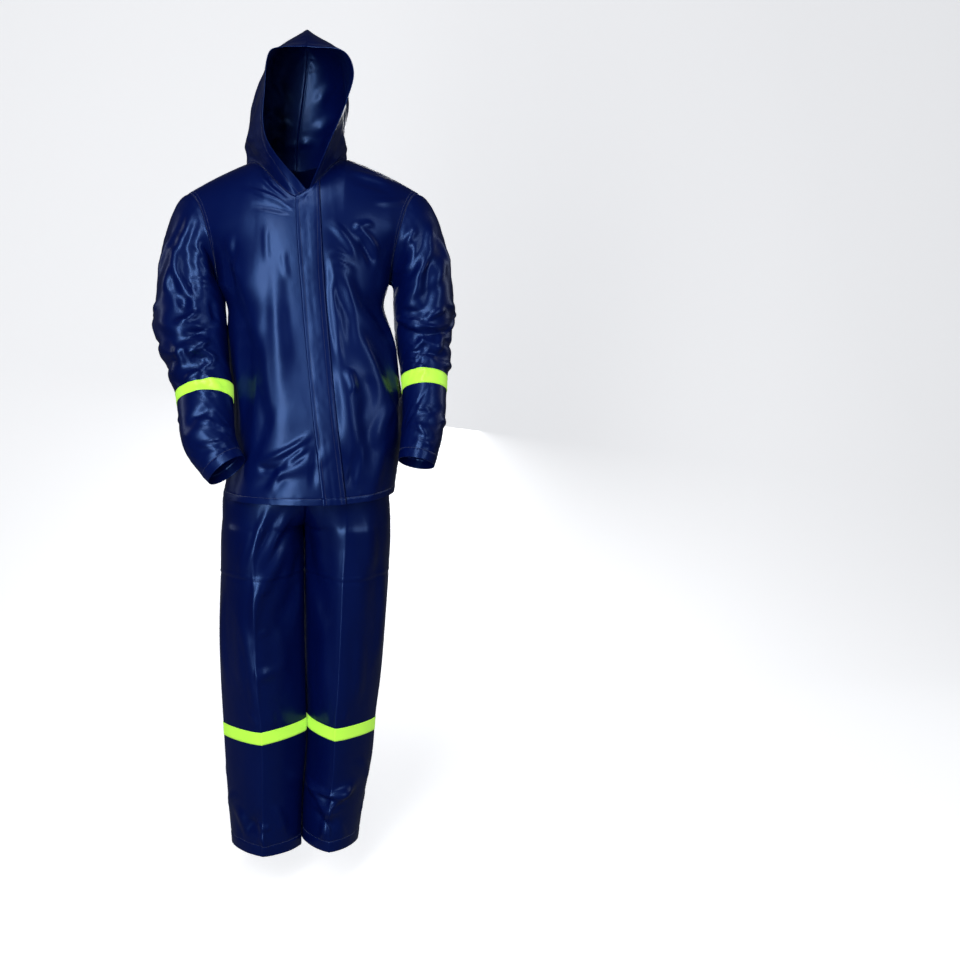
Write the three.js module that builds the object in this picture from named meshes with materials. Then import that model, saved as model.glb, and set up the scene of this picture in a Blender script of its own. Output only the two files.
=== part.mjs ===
// A rain suit of glossy coated cloth, filled out as it is worn and hollow inside: a hooded jacket
// that closes with a zip under a storm flap, over straight trousers with an elastic waistband.
// Bands of reflective tape go round both sleeves and both legs, and one lies across the back.
//
// Sizes are in millimetres. +X is the wearer's left, -Y the front and +Z up. Heights in the tables
// are above the ground that the wearer stands on. At the end the whole suit is lowered, so that
// the origin is between the shoulders, at the base of the neck, where the wearer holds it up.
import * as THREE from "three";

// Driving sizes
const HOLD_HEIGHT = 1560;
const CLOTH = 1.6;
const TAPE = 1.0;
const SEAM_GAP = 0.3;
const LAID_GAP = 0.3;
const FLAP_HALF_WIDTH = 25;
const ZIP_HALF_WIDTH = 16;
const ZIP_OPENING = 3;
const TAPE_WIDTH = 28;
const BACK_TAPE = { x: -6, z: 1336, width: 212, height: 56 };

const RIGHT = -1;
const LEFT = 1;
const QUARTER = Math.PI / 2;

// Small helpers
const radians = THREE.MathUtils.degToRad;
const mix = THREE.MathUtils.lerp;
const vector = (x, y, z) => new THREE.Vector3(x, y, z);
const signedPower = (value, power) => Math.sign(value) * Math.abs(value) ** power;
const steps = (from, to, count) => Array.from({ length: count + 1 }, (_, i) => mix(from, to, i / count));

function smooth(value) {
  const t = THREE.MathUtils.clamp(value, 0, 1);
  return t * t * (3 - 2 * t);
}

// Every column of a table at one value of its key column, on a smooth curve through the rows.
function sectionAt(table, key, value) {
  const last = table.length - 1;
  const at = THREE.MathUtils.clamp(value, table[0][key], table[last][key]);
  const k = Math.min(last - 1, table.findLastIndex((row) => row[key] <= at));
  const span = table[k + 1][key] - table[k][key];
  const t = (at - table[k][key]) / span;
  const slope = (i, name) => {
    const before = table[Math.max(0, i - 1)];
    const after = table[Math.min(last, i + 1)];
    return ((after[name] - before[name]) / (after[key] - before[key])) * span;
  };
  const section = {};
  for (const name of Object.keys(table[k])) {
    const [p, q] = [table[k][name], table[k + 1][name]];
    const [m, n] = [slope(k, name), slope(k + 1, name)];
    section[name] = p + t * (m + t * (3 * (q - p) - 2 * m - n + t * (2 * (p - q) + m + n)));
  }
  return section;
}

// Folds are ridges (height above 0) or troughs (below 0) on the cloth. A fold's middle is at angle
// `turn` round the section, in degrees, and at `level` along it. It runs at `lean` degrees from the
// way round, over `length`, and is `width` across.
function foldHeight(folds, turn, level, radius) {
  let height = 0;
  for (const fold of folds) {
    const away = ((((turn - fold.turn) % 360) + 540) % 360) - 180;
    const across = radians(away) * radius;
    const up = level - fold.level;
    const lean = radians(fold.lean);
    const along = across * Math.cos(lean) + up * Math.sin(lean);
    const beside = up * Math.cos(lean) - across * Math.sin(lean);
    const reach = Math.min(1, Math.abs(along) / (fold.length / 2));
    height += fold.height * Math.exp(-((beside / fold.width) ** 2)) * Math.cos(reach * QUARTER) ** 2;
  }
  return height;
}

// Jacket body, from the hem up to the armpits. The section's middle moves to the wearer's left at
// the waist, as the cloth is pushed over by the forearm.
const BODY_POWER = 2 / 2.3;
const ARMPIT = 1325;
const HEM = 876;
const HEM_LIFT_LEFT = 12;
const HEM_DROP_BACK = 24;
const BODY = [
  { z: 850, x: 10, halfWidth: 185, front: 158, back: 147 },
  { z: 876, x: 11, halfWidth: 184, front: 158, back: 146 },
  { z: 940, x: 21, halfWidth: 182, front: 156, back: 142 },
  { z: 1010, x: 30, halfWidth: 183, front: 152, back: 138 },
  { z: 1080, x: 33, halfWidth: 184, front: 147, back: 133 },
  { z: 1150, x: 26, halfWidth: 181, front: 141, back: 127 },
  { z: 1230, x: 13, halfWidth: 174, front: 134, back: 121 },
  { z: 1280, x: 5, halfWidth: 166, front: 130, back: 119 },
  { z: 1325, x: 0, halfWidth: 181, front: 127, back: 120 },
];
// Folds of the body: turn is 0 at the front, 90 on the wearer's left, 180 at the back.
const BODY_FOLDS = [
  { turn: -38, level: 1130, lean: 82, length: 420, width: 22, height: 9 },
  { turn: -66, level: 1010, lean: 96, length: 360, width: 26, height: -8 },
  { turn: -20, level: 1220, lean: 86, length: 300, width: 18, height: 5 },
  { turn: 36, level: 1180, lean: 112, length: 300, width: 22, height: 8 },
  { turn: 60, level: 1120, lean: 118, length: 300, width: 26, height: -9 },
  { turn: 44, level: 960, lean: 84, length: 260, width: 24, height: 6 },
  { turn: 82, level: 1110, lean: 90, length: 260, width: 34, height: -11 },
  { turn: -12, level: 950, lean: 28, length: 170, width: 16, height: 6 },
  { turn: -24, level: 925, lean: 16, length: 130, width: 14, height: -6 },
  { turn: 132, level: 1110, lean: 88, length: 560, width: 20, height: 13 },
  { turn: 148, level: 1110, lean: 90, length: 520, width: 18, height: -7 },
  { turn: 172, level: 1020, lean: 87, length: 460, width: 28, height: 7 },
  { turn: 204, level: 1050, lean: 92, length: 480, width: 26, height: -5 },
  { turn: 226, level: 1130, lean: 91, length: 540, width: 20, height: 12 },
];

// The hem rises a little on the wearer's left and hangs lower at the back.
const hemHeight = (turn) =>
  HEM +
  HEM_LIFT_LEFT * Math.max(0, Math.sin(turn)) ** 2 -
  HEM_DROP_BACK * Math.max(0, -Math.cos(turn)) ** 1.5;

// Where the fronts meet, which leans to the wearer's left towards the hem.
const frontMiddle = (z) => 9 + 55 * (Math.max(0, 1500 - z) / 620) ** 1.35;

function bodyPoint(turn, z) {
  const section = sectionAt(BODY, "z", z);
  const depth = Math.cos(turn) > 0 ? section.front : section.back;
  const x = section.halfWidth * signedPower(Math.sin(turn), BODY_POWER);
  const y = -depth * signedPower(Math.cos(turn), BODY_POWER);
  const away = vector(x, y, 0).normalize();
  const height = foldHeight(BODY_FOLDS, THREE.MathUtils.radToDeg(turn), z, section.halfWidth);
  return vector(section.x + x, y, z).addScaledVector(away, height * smooth((ARMPIT - z) / 60));
}

// The angle round a section of the body at which its outline has this x.
function turnAt(x, section) {
  const share = THREE.MathUtils.clamp((x - section.x) / section.halfWidth, -1, 1);
  return Math.asin(signedPower(share, 1 / BODY_POWER));
}

// Shoulders and neck
const SEAM_Y = 5;
const SHOULDER_X = 243;
const NECK_X = -14;
const NECK_HALF_WIDTH = 106;
const NECK_CURVE = 1.6;
const FRONT_NECK = radians(40);
const BACK_NECK = radians(66);
const ROOF_POWER = 0.87;
const ARMHOLE_TURN = radians(58);
const shoulderHeight = (x) => {
  const past = Math.max(-8, Math.abs(x) - 100);
  return 1583 - 0.36 * past - 0.0008 * past * past;
};
const armholeX = (t) => 181 + (SHOULDER_X - 181) * t ** 1.2;
const armholeTurn = (t) => QUARTER - (QUARTER - ARMHOLE_TURN) * smooth(t / 0.4);

// Columns of the fronts and the back, as x at the neckline and along the shoulder seam
const NECK_STEPS = 4;
const SHOULDER_STEPS = 5;
const BODY_ROWS = 13;
const YOKE_ROWS = 9;
const neckPoint = (side) => NECK_X + side * NECK_HALF_WIDTH;
const shoulderColumns = (side) => steps(neckPoint(side), side * SHOULDER_X, SHOULDER_STEPS).slice(1);

// How far round the roof of the shoulder a column goes: right over at the shoulder seam, and less
// at the neckline.
function roofEnd(x, neckAngle) {
  const share = Math.min(1, Math.abs(x - NECK_X) / NECK_HALF_WIDTH);
  return mix(neckAngle, QUARTER, share ** NECK_CURVE);
}

// A point of the jacket above the armpits. t goes from the armpits, 0, to the shoulder seam and the
// neckline, 1. topX is the column's x there.
function yokePoint(turn, t, topX, back) {
  const end = roofEnd(topX, back ? BACK_NECK : FRONT_NECK);
  const wide = armholeX(t) / Math.sin(armholeTurn(t)) ** BODY_POWER;
  const depth = back ? BODY.at(-1).back : -BODY.at(-1).front;
  const x = wide * signedPower(Math.sin(turn), BODY_POWER);
  const full = depth * Math.cos(turn) ** BODY_POWER;
  const y = SEAM_Y + (full - SEAM_Y) * Math.cos(end * t) ** ROOF_POWER;
  const z = ARMPIT + (shoulderHeight(topX) - ARMPIT) * Math.sin(end * t) ** ROOF_POWER;
  return vector(x, y, z);
}

// The turn of a column above the armpits, as a share of the way to the armhole.
function columnShares(tops) {
  const wide = SHOULDER_X / Math.sin(ARMHOLE_TURN) ** BODY_POWER;
  const turns = tops.map((x) => Math.asin(Math.abs(signedPower(x / wide, 1 / BODY_POWER))) * Math.sign(x));
  return turns.map((turn) => (turn - turns[0]) / (turns.at(-1) - turns[0]));
}

function frontGrid(side) {
  const middle = frontMiddle(1500);
  const flapX = middle + side * FLAP_HALF_WIDTH;
  const tops = [...steps(flapX, neckPoint(side), NECK_STEPS), ...shoulderColumns(side)];
  const shares = columnShares(tops);
  const rows = [];
  for (const t of steps(0, 1, BODY_ROWS)) {
    const z = mix(HEM, ARMPIT, t);
    const section = sectionAt(BODY, "z", z);
    const edge = turnAt(frontMiddle(z) + (side * ZIP_OPENING) / 2, section);
    const flap = turnAt(frontMiddle(z) + side * FLAP_HALF_WIDTH, section);
    const turns = [edge, ...shares.map((share) => mix(flap, side * QUARTER, share))];
    rows.push(turns.map((turn) => bodyPoint(turn, mix(hemHeight(turn), ARMPIT, t))));
  }
  for (const t of steps(0, 1, YOKE_ROWS).slice(1)) {
    const wide = armholeX(t) / Math.sin(armholeTurn(t)) ** BODY_POWER;
    const section = { x: 0, halfWidth: wide };
    const z = yokePoint(0, t, middle, false).z;
    const edge = turnAt(frontMiddle(z) + (side * ZIP_OPENING) / 2, section);
    const flap = turnAt(frontMiddle(z) + side * FLAP_HALF_WIDTH, section);
    const turns = [edge, ...shares.map((share) => mix(flap, side * armholeTurn(t), share))];
    rows.push(turns.map((turn, j) => yokePoint(turn, t, j ? tops[j - 1] : middle, false)));
  }
  return rows;
}

function backGrid() {
  const half = (side) => [...steps(NECK_X, neckPoint(side), NECK_STEPS).slice(1), ...shoulderColumns(side)];
  const sides = [LEFT, RIGHT].map((side) => {
    const tops = [NECK_X, ...half(side)];
    return { side, tops, shares: columnShares(tops) };
  });
  // from the wearer's left side seam, round the back, to the right one
  const acrossBack = (turnOf) => {
    const [left, right] = sides.map(({ side, tops, shares }) =>
      shares.map((share, j) => turnOf(share, side, tops[j])),
    );
    return [...left.reverse(), ...right.slice(1)];
  };
  const wideTop = SHOULDER_X / Math.sin(ARMHOLE_TURN) ** BODY_POWER;
  const middle = -turnAt(NECK_X, { x: 0, halfWidth: wideTop });
  const rows = [];
  for (const t of steps(0, 1, BODY_ROWS)) {
    rows.push(
      acrossBack((share, side) => {
        const turn = Math.PI + middle - share * (side * QUARTER + middle);
        return bodyPoint(turn, mix(hemHeight(turn), ARMPIT, t));
      }),
    );
  }
  for (const t of steps(0, 1, YOKE_ROWS).slice(1)) {
    rows.push(
      acrossBack((share, side, top) => {
        const turn = -middle + share * (side * armholeTurn(t) + middle);
        return yokePoint(turn, t, top, true);
      }),
    );
  }
  return rows;
}

// Sleeves. Rows follow the arm from just under the armpit to the cuff: the middle of the sleeve,
// its half width across and its half depth from front to back.
const ARM = {
  [RIGHT]: [
    { along: 0, x: -239.5, y: -2, z: 1290, halfWidth: 73.5, halfDepth: 76 },
    { along: 60, x: -238, y: -18, z: 1230, halfWidth: 77, halfDepth: 76 },
    { along: 135, x: -224, y: -38, z: 1163, halfWidth: 69, halfDepth: 72 },
    { along: 190, x: -209, y: -60, z: 1110, halfWidth: 61, halfDepth: 63 },
    { along: 240, x: -204, y: -84, z: 1066, halfWidth: 58, halfDepth: 60 },
    { along: 300, x: -196, y: -114, z: 1012, halfWidth: 56, halfDepth: 56 },
    { along: 345, x: -178, y: -133, z: 976, halfWidth: 50, halfDepth: 52 },
    { along: 385, x: -157, y: -147, z: 948, halfWidth: 45, halfDepth: 50 },
  ],
  [LEFT]: [
    { along: 0, x: 255, y: 5, z: 1290, halfWidth: 64, halfDepth: 76 },
    { along: 60, x: 256, y: 6, z: 1230, halfWidth: 61, halfDepth: 74 },
    { along: 115, x: 258, y: -8, z: 1176, halfWidth: 56, halfDepth: 68 },
    { along: 170, x: 256, y: -32, z: 1124, halfWidth: 48, halfDepth: 60 },
    { along: 235, x: 254, y: -58, z: 1062, halfWidth: 45, halfDepth: 56 },
    { along: 300, x: 246, y: -82, z: 1003, halfWidth: 42, halfDepth: 53 },
    { along: 350, x: 236, y: -98, z: 957, halfWidth: 38, halfDepth: 52 },
  ],
};
const SLEEVE_TAPE_AT = { [RIGHT]: 198, [LEFT]: 168 };
const CAP_ROWS = 6;
const SLEEVE_ROW_STEP = 17;
// Folds of the sleeves: turn is 0 next to the body, 90 at the front, 180 outside, 270 at the back.
const SLEEVE_FOLDS = {
  [RIGHT]: [
    { turn: 120, level: -50, lean: 68, length: 170, width: 17, height: 8 },
    { turn: 90, level: 10, lean: 60, length: 120, width: 15, height: -8 },
    { turn: 120, level: 62, lean: -32, length: 130, width: 13, height: 8 },
    { turn: 75, level: 84, lean: 14, length: 110, width: 11, height: -9 },
    { turn: 100, level: 118, lean: 8, length: 130, width: 11, height: 8 },
    { turn: 175, level: 128, lean: -6, length: 150, width: 13, height: -12 },
    { turn: 95, level: 160, lean: -14, length: 110, width: 13, height: -8 },
    { turn: 300, level: 90, lean: 20, length: 150, width: 15, height: -10 },
    { turn: 250, level: 60, lean: -24, length: 130, width: 14, height: 8 },
    { turn: 100, level: 272, lean: 24, length: 100, width: 11, height: -6 },
    { turn: 120, level: 302, lean: -10, length: 110, width: 11, height: 5 },
  ],
  [LEFT]: [
    { turn: 70, level: -40, lean: 116, length: 160, width: 16, height: 8 },
    { turn: 95, level: -5, lean: 128, length: 150, width: 14, height: -7 },
    { turn: 85, level: 55, lean: 18, length: 120, width: 12, height: 8 },
    { turn: 120, level: 78, lean: -16, length: 130, width: 12, height: -9 },
    { turn: 80, level: 108, lean: 10, length: 110, width: 11, height: 7 },
    { turn: 110, level: 136, lean: -10, length: 110, width: 11, height: -7 },
    { turn: 250, level: 30, lean: 28, length: 150, width: 15, height: 10 },
    { turn: 235, level: 84, lean: -12, length: 150, width: 13, height: -10 },
    { turn: 260, level: 116, lean: 16, length: 130, width: 13, height: 9 },
    { turn: 100, level: 250, lean: -18, length: 90, width: 10, height: -5 },
    { turn: 80, level: 286, lean: 16, length: 90, width: 10, height: 5 },
  ],
};

function armFrame(side, along) {
  const table = ARM[side];
  const [here, before, after] = [0, -8, 8].map((shift) => sectionAt(table, "along", along + shift));
  const down = vector(after.x - before.x, after.y - before.y, after.z - before.z).normalize();
  const out = vector(side, 0, 0);
  out.addScaledVector(down, -out.dot(down)).normalize();
  const front = vector(0, 0, 0).crossVectors(down, out).multiplyScalar(side);
  return { here, down, out, front };
}

function armPoint(side, angle, along) {
  const { here, out, front } = armFrame(side, along);
  const away = vector(0, 0, 0)
    .addScaledVector(out, -here.halfWidth * Math.cos(angle))
    .addScaledVector(front, here.halfDepth * Math.sin(angle));
  const turn = THREE.MathUtils.radToDeg(angle);
  const grown = 1 + foldHeight(SLEEVE_FOLDS[side], turn, along, here.halfWidth) / away.length();
  return vector(here.x, here.y, here.z).addScaledVector(away, grown);
}

// The sleeve starts on the armhole of the jacket, whose points come round from the armpit up the
// front, over the shoulder and down the back, and turns down into the arm.
function sleeveGrid(side, front, back) {
  const yoke = (rows, column) => rows.slice(BODY_ROWS).map((row) => row.at(column));
  const frontEdge = yoke(front, -1);
  const backEdge = yoke(back, side === LEFT ? 0 : -1).reverse();
  const armhole = [...frontEdge, ...backEdge.slice(1, -1)];
  const angles = armhole.map((_, i) => (2 * Math.PI * i) / armhole.length);
  const rows = [armhole];
  const { down } = armFrame(side, 0);
  for (const t of steps(0, 1, CAP_ROWS).slice(1)) {
    rows.push(
      armhole.map((start, i) => {
        const end = armPoint(side, angles[i], 0);
        const reach = start.distanceTo(end);
        const top = (1 - Math.cos(angles[i])) / 2;
        const away = vector(side, 0, mix(-0.1, -0.42, top)).multiplyScalar(reach * mix(1, 0.62, top));
        const curve = new THREE.CubicBezierCurve3(
          start,
          start.clone().addScaledVector(away, 1 / 3),
          end.clone().addScaledVector(down, (-reach * mix(1, 0.7, top)) / 3),
          end,
        );
        const point = curve.getPoint(t);
        const turn = THREE.MathUtils.radToDeg(angles[i]);
        const level = (t - 1) * reach;
        const fade = smooth((1 - t) * 6) * smooth(t * 2);
        const height = foldHeight(SLEEVE_FOLDS[side], turn, level, 75) * fade;
        return point.addScaledVector(vector(side * top, -Math.sin(angles[i]), 0), t < 1 ? height : 0);
      }),
    );
  }
  const end = ARM[side].at(-1).along;
  const tape = SLEEVE_TAPE_AT[side];
  const count = (length) => Math.round(length / SLEEVE_ROW_STEP);
  const levels = [
    ...steps(0, tape, count(tape)).slice(1),
    ...steps(tape, tape + TAPE_WIDTH, 2).slice(1),
    ...steps(tape + TAPE_WIDTH, end, count(end - tape - TAPE_WIDTH)).slice(1),
  ];
  for (const level of levels) rows.push(angles.map((angle) => armPoint(side, angle, level)));
  const tapeRow = CAP_ROWS + count(tape);
  return { rows, tapeRows: [tapeRow, tapeRow + 2] };
}

// Hood. Each row is a line round the head from the edge of the face opening, past the widest place
// at the ear, to the seam at the back. x is measured from the hood's middle, which leans to the
// wearer's left with height. The last row is the ridge, the seam over the top of the head.
const HOOD = {
  [RIGHT]: [
    { edgeX: 62, edgeY: -145, edgeZ: 1618, wide: 106, wideY: -5, wideZ: 1630, backY: 84, backZ: 1632 },
    { edgeX: 74, edgeY: -158, edgeZ: 1712, wide: 93, wideY: -5, wideZ: 1710, backY: 97, backZ: 1705 },
    { edgeX: 72, edgeY: -155, edgeZ: 1780, wide: 75, wideY: 0, wideZ: 1779, backY: 88, backZ: 1769 },
    { edgeX: 50, edgeY: -151, edgeZ: 1788, wide: 54, wideY: 5, wideZ: 1812, backY: 76, backZ: 1800 },
    { edgeX: 0, edgeY: -149, edgeZ: 1789, wide: 0, wideY: 5, wideZ: 1847, backY: 60, backZ: 1826 },
  ],
  [LEFT]: [
    { edgeX: 66, edgeY: -142, edgeZ: 1608, wide: 99, wideY: -5, wideZ: 1630, backY: 84, backZ: 1632 },
    { edgeX: 91, edgeY: -158, edgeZ: 1682, wide: 91, wideY: -5, wideZ: 1705, backY: 97, backZ: 1705 },
    { edgeX: 97, edgeY: -166, edgeZ: 1739, wide: 72, wideY: 0, wideZ: 1774, backY: 88, backZ: 1769 },
    { edgeX: 74, edgeY: -158, edgeZ: 1778, wide: 48, wideY: 5, wideZ: 1811, backY: 76, backZ: 1800 },
    { edgeX: 0, edgeY: -149, edgeZ: 1789, wide: 0, wideY: 5, wideZ: 1847, backY: 60, backZ: 1826 },
  ],
};
const HOOD_LEAN = 22;
const HOOD_ROW_STEPS = [3, 3, 2, 2, 2];
const HOOD_BACK_POWER = 2 / 2.2;
const hoodMiddle = (z) => NECK_X + HOOD_LEAN * smooth((z - 1590) / 230);

function hoodRowPoint(side, row, share) {
  const ear = (NECK_STEPS + 1) / (2 * NECK_STEPS + 1);
  let [x, y, z] = [row.wide, row.wideY, row.wideZ];
  if (share <= ear) {
    const t = share / ear;
    x = mix(row.edgeX, row.wide, Math.sin(t * QUARTER));
    y = mix(row.edgeY, row.wideY, t);
    z = mix(row.edgeZ, row.wideZ, Math.sin(t * QUARTER));
  } else {
    const t = (share - ear) / (1 - ear);
    x = t < 1 ? row.wide * Math.cos(t * QUARTER) ** HOOD_BACK_POWER : 0;
    y = mix(row.wideY, row.backY, Math.sin(t * QUARTER) ** HOOD_BACK_POWER);
    z = mix(row.wideZ, row.backZ, t);
  }
  return vector(hoodMiddle(z) + side * x, y, z);
}

function hoodGrid(side, front, back) {
  const middle = NECK_STEPS + SHOULDER_STEPS;
  const backNeck = back.at(-1).slice(middle - NECK_STEPS, middle + NECK_STEPS + 1);
  const fromNeckPoint =
    side === LEFT ? backNeck.slice(1, NECK_STEPS + 1) : backNeck.slice(NECK_STEPS, -1).reverse();
  const neckline = [...front.at(-1).slice(0, NECK_STEPS + 2), ...fromNeckPoint];
  const levels = HOOD_ROW_STEPS.flatMap((count, k) => steps(k, k + 1, count).slice(1));
  const columns = neckline.map((base, j) => {
    const share = j / (neckline.length - 1);
    const line = [base, ...HOOD[side].map((row) => hoodRowPoint(side, row, share))];
    const curve = new THREE.CatmullRomCurve3(line);
    return [base, ...levels.map((level) => curve.getPoint(level / (line.length - 1)))];
  });
  return columns[0].map((_, i) => columns.map((column) => column[i]));
}

// Trousers. The two legs meet at the crotch, and above it they blend into one section round the
// hips. Rows of a leg: the middle of the section, its half width, its depth to the front and to the
// back of the side seam, where the pressed crease runs, and how round the front is: near 1 it is
// folded flat to the crease, and at 2 it is an ellipse.
const CROTCH = 815;
const CROTCH_X = 1;
const RISE = 120;
const WAIST = 1045;
const WAISTBAND = 40;
const LEG = {
  [RIGHT]: [
    { z: 88, x: -82.3, halfWidth: 77.1, front: 82, back: 76, crease: -88, round: 1.5 },
    { z: 182, x: -85.3, halfWidth: 81.7, front: 86, back: 80, crease: -88, round: 1.45 },
    { z: 300, x: -85.3, halfWidth: 88.7, front: 92, back: 82, crease: -88, round: 1.3 },
    { z: 365, x: -85.5, halfWidth: 91.5, front: 95, back: 84, crease: -90, round: 1.3 },
    { z: 470, x: -88.9, halfWidth: 93.1, front: 98, back: 88, crease: -98, round: 1.4 },
    { z: 575, x: -90.9, halfWidth: 93.1, front: 102, back: 94, crease: -102, round: 1.5 },
    { z: 700, x: -89.4, halfWidth: 90.6, front: 107, back: 102, crease: -106, round: 1.6 },
    { z: 815, x: -87.7, halfWidth: 88.3, front: 112, back: 110, crease: -98, round: 1.85 },
    { z: 935, x: -76, halfWidth: 77, front: 112, back: 110, crease: -84, round: 1.85 },
  ],
  [LEFT]: [
    { z: 98, x: 58.1, halfWidth: 63.9, front: 86, back: 84, crease: 56, round: 1.5 },
    { z: 194, x: 65.3, halfWidth: 69.7, front: 88, back: 84, crease: 58, round: 1.45 },
    { z: 294, x: 77.8, halfWidth: 75.2, front: 92, back: 84, crease: 66, round: 1.3 },
    { z: 386, x: 82.6, halfWidth: 77.4, front: 95, back: 86, crease: 69, round: 1.3 },
    { z: 480, x: 87.4, halfWidth: 83.6, front: 98, back: 88, crease: 75, round: 1.4 },
    { z: 622, x: 91.4, halfWidth: 89.6, front: 103, back: 96, crease: 81, round: 1.5 },
    { z: 715, x: 93.4, halfWidth: 92.6, front: 108, back: 102, crease: 84, round: 1.6 },
    { z: 815, x: 94.7, halfWidth: 93.3, front: 112, back: 110, crease: 89, round: 1.85 },
    { z: 935, x: 86, halfWidth: 84, front: 112, back: 110, crease: 80, round: 1.85 },
  ],
};
// Below the crotch one leg's inside seam lies in front of the other's, and the two legs just clear
// each other there.
const INSIDE_SEAM_Y = { [RIGHT]: -14, [LEFT]: 20 };
// The tapes' lower edge at the side seam, and how much higher it is at the inside of the leg
const LEG_TAPE = { [RIGHT]: { z: 337, rise: 16 }, [LEFT]: { z: 350, rise: 6 } };
const HIP = [
  { z: 815, x: 8, halfWidth: 183, front: 116, back: 122 },
  { z: 870, x: 5.6, halfWidth: 180.4, front: 124, back: 128 },
  { z: 935, x: 14, halfWidth: 166, front: 127, back: 126 },
  { z: 1000, x: 19, halfWidth: 158, front: 121, back: 116 },
  { z: 1045, x: 21, halfWidth: 150, front: 114, back: 108 },
  { z: 1085, x: 21, halfWidth: 148, front: 112, back: 106 },
];
const BACK_ROUND = 2.1;
const LEG_STEPS = 9;
const LEG_ROW_STEP = 33;
// Folds of the legs: turn is 0 at the side seam, 90 at the front crease, 180 at the inside.
const LEG_FOLDS = {
  [RIGHT]: [
    { turn: 118, level: 730, lean: 62, length: 240, width: 17, height: 8 },
    { turn: 92, level: 640, lean: 76, length: 220, width: 17, height: 6 },
    { turn: 138, level: 640, lean: 64, length: 200, width: 20, height: -7 },
    { turn: 105, level: 500, lean: 8, length: 90, width: 13, height: 5 },
    { turn: 60, level: 150, lean: 52, length: 130, width: 14, height: -8 },
    { turn: 88, level: 128, lean: -48, length: 110, width: 13, height: 6 },
    { turn: 300, level: 560, lean: 74, length: 420, width: 24, height: 8 },
    { turn: 262, level: 700, lean: 62, length: 260, width: 22, height: -7 },
    { turn: 250, level: 240, lean: 80, length: 240, width: 20, height: 5 },
  ],
  [LEFT]: [
    { turn: 60, level: 690, lean: 84, length: 300, width: 20, height: 5 },
    { turn: 126, level: 640, lean: 92, length: 300, width: 22, height: -5 },
    { turn: 96, level: 192, lean: 4, length: 120, width: 10, height: 7 },
    { turn: 100, level: 168, lean: 30, length: 90, width: 11, height: -8 },
    { turn: 62, level: 232, lean: -26, length: 100, width: 13, height: 6 },
    { turn: 290, level: 640, lean: 98, length: 420, width: 24, height: 7 },
    { turn: 250, level: 780, lean: 118, length: 260, width: 22, height: 8 },
    { turn: 236, level: 740, lean: 112, length: 240, width: 20, height: -8 },
  ],
};

// A point of a leg. Share 0 is the side seam, and 1 is the inside seam.
function legPoint(side, share, z, back) {
  const leg = sectionAt(LEG[side], "z", z);
  const sign = back ? 1 : -1;
  const angle = share * Math.PI;
  const power = 2 / (back ? BACK_ROUND : leg.round);
  const turn = -sign * THREE.MathUtils.radToDeg(angle);
  const height = foldHeight(LEG_FOLDS[side], turn, z, leg.halfWidth);
  const grown = 1 + (height * smooth((1 - share) * 5) * smooth(share * 5)) / leg.halfWidth;
  const across = side * leg.halfWidth * signedPower(Math.cos(angle), power) * grown;
  const toCrease = back ? 0 : (leg.crease - leg.x) * Math.sin(angle) ** 2;
  const depth = (back ? leg.back : leg.front) * Math.abs(Math.sin(angle)) ** power * grown;
  const inside = INSIDE_SEAM_Y[side] * share ** 3 * smooth((CROTCH - z) / 50);
  return vector(leg.x + across + toCrease, sign * depth + inside, z);
}

// A point of the trousers. Above the crotch, share 1 is the seam in the middle of the front or back.
function trouserPoint(side, share, z, back) {
  const leg = legPoint(side, share, z, back);
  if (z <= CROTCH) return leg;
  const hip = sectionAt(HIP, "z", z);
  const edges = [0, 1].map((end) => legPoint(side, end, CROTCH, back).x);
  const out = Math.min(1, (legPoint(side, share, CROTCH, back).x - edges[1]) / (edges[0] - edges[1]));
  const depth = (back ? hip.back : -hip.front) * (1 - out ** (2 / BODY_POWER)) ** (BODY_POWER / 2);
  const blend = Math.sqrt(1 - (1 - Math.min(1, (z - CROTCH) / RISE)) ** 2);
  const point = leg.lerp(vector(hip.x + side * hip.halfWidth * out, depth, z), blend);
  if (share === 1) point.x = mix(CROTCH_X, hip.x, blend);
  return point;
}

function trouserGrid(side, back) {
  const hem = LEG[side][0].z;
  const tape = LEG_TAPE[side];
  const tapeTop = tape.z + TAPE_WIDTH;
  const count = (length) => Math.round(length / LEG_ROW_STEP);
  const levels = [
    ...steps(hem, tape.z, count(tape.z - hem)),
    ...steps(tape.z, tapeTop, 2).slice(1),
    ...steps(tapeTop, CROTCH, count(CROTCH - tapeTop)).slice(1),
    ...[0.05, 0.18, 0.4, 0.7, 1].map((t) => CROTCH + t * RISE),
    mix(CROTCH + RISE, WAIST, 0.5),
    WAIST,
  ];
  const shares = steps(0, 1, LEG_STEPS);
  const rows = levels.map((z) => {
    const lifted = smooth((z - hem) / 160) * smooth((CROTCH - z) / 300);
    return shares.map((share) => trouserPoint(side, share, z + tape.rise * share * lifted, back));
  });
  const tapeRow = count(tape.z - hem);
  return { rows, tapeRows: [tapeRow, tapeRow + 2] };
}

// Cloth: a grid of points on the outer face, in rows, with the way out of the cloth at each point.
// `turned` is 1 where rows cross columns to point out of the garment, and -1 where they point in.
function cloth(rows, turned, closed = false) {
  const [height, width] = [rows.length, rows[0].length];
  const at = (i, j) => rows[i][closed ? (j + width) % width : j];
  const normals = rows.map((row) => row.map(() => vector(0, 0, 0)));
  for (let i = 0; i + 1 < height; i++) {
    for (let j = 0; j + (closed ? 0 : 1) < width; j++) {
      const [a, b, c, d] = [at(i, j), at(i, j + 1), at(i + 1, j + 1), at(i + 1, j)];
      const out = c.clone().sub(a).cross(d.clone().sub(b)).multiplyScalar(turned);
      for (const [r, k] of [[i, j], [i, j + 1], [i + 1, j + 1], [i + 1, j]]) normals[r][k % width].add(out);
    }
  }
  return { rows, normals, closed };
}

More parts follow.
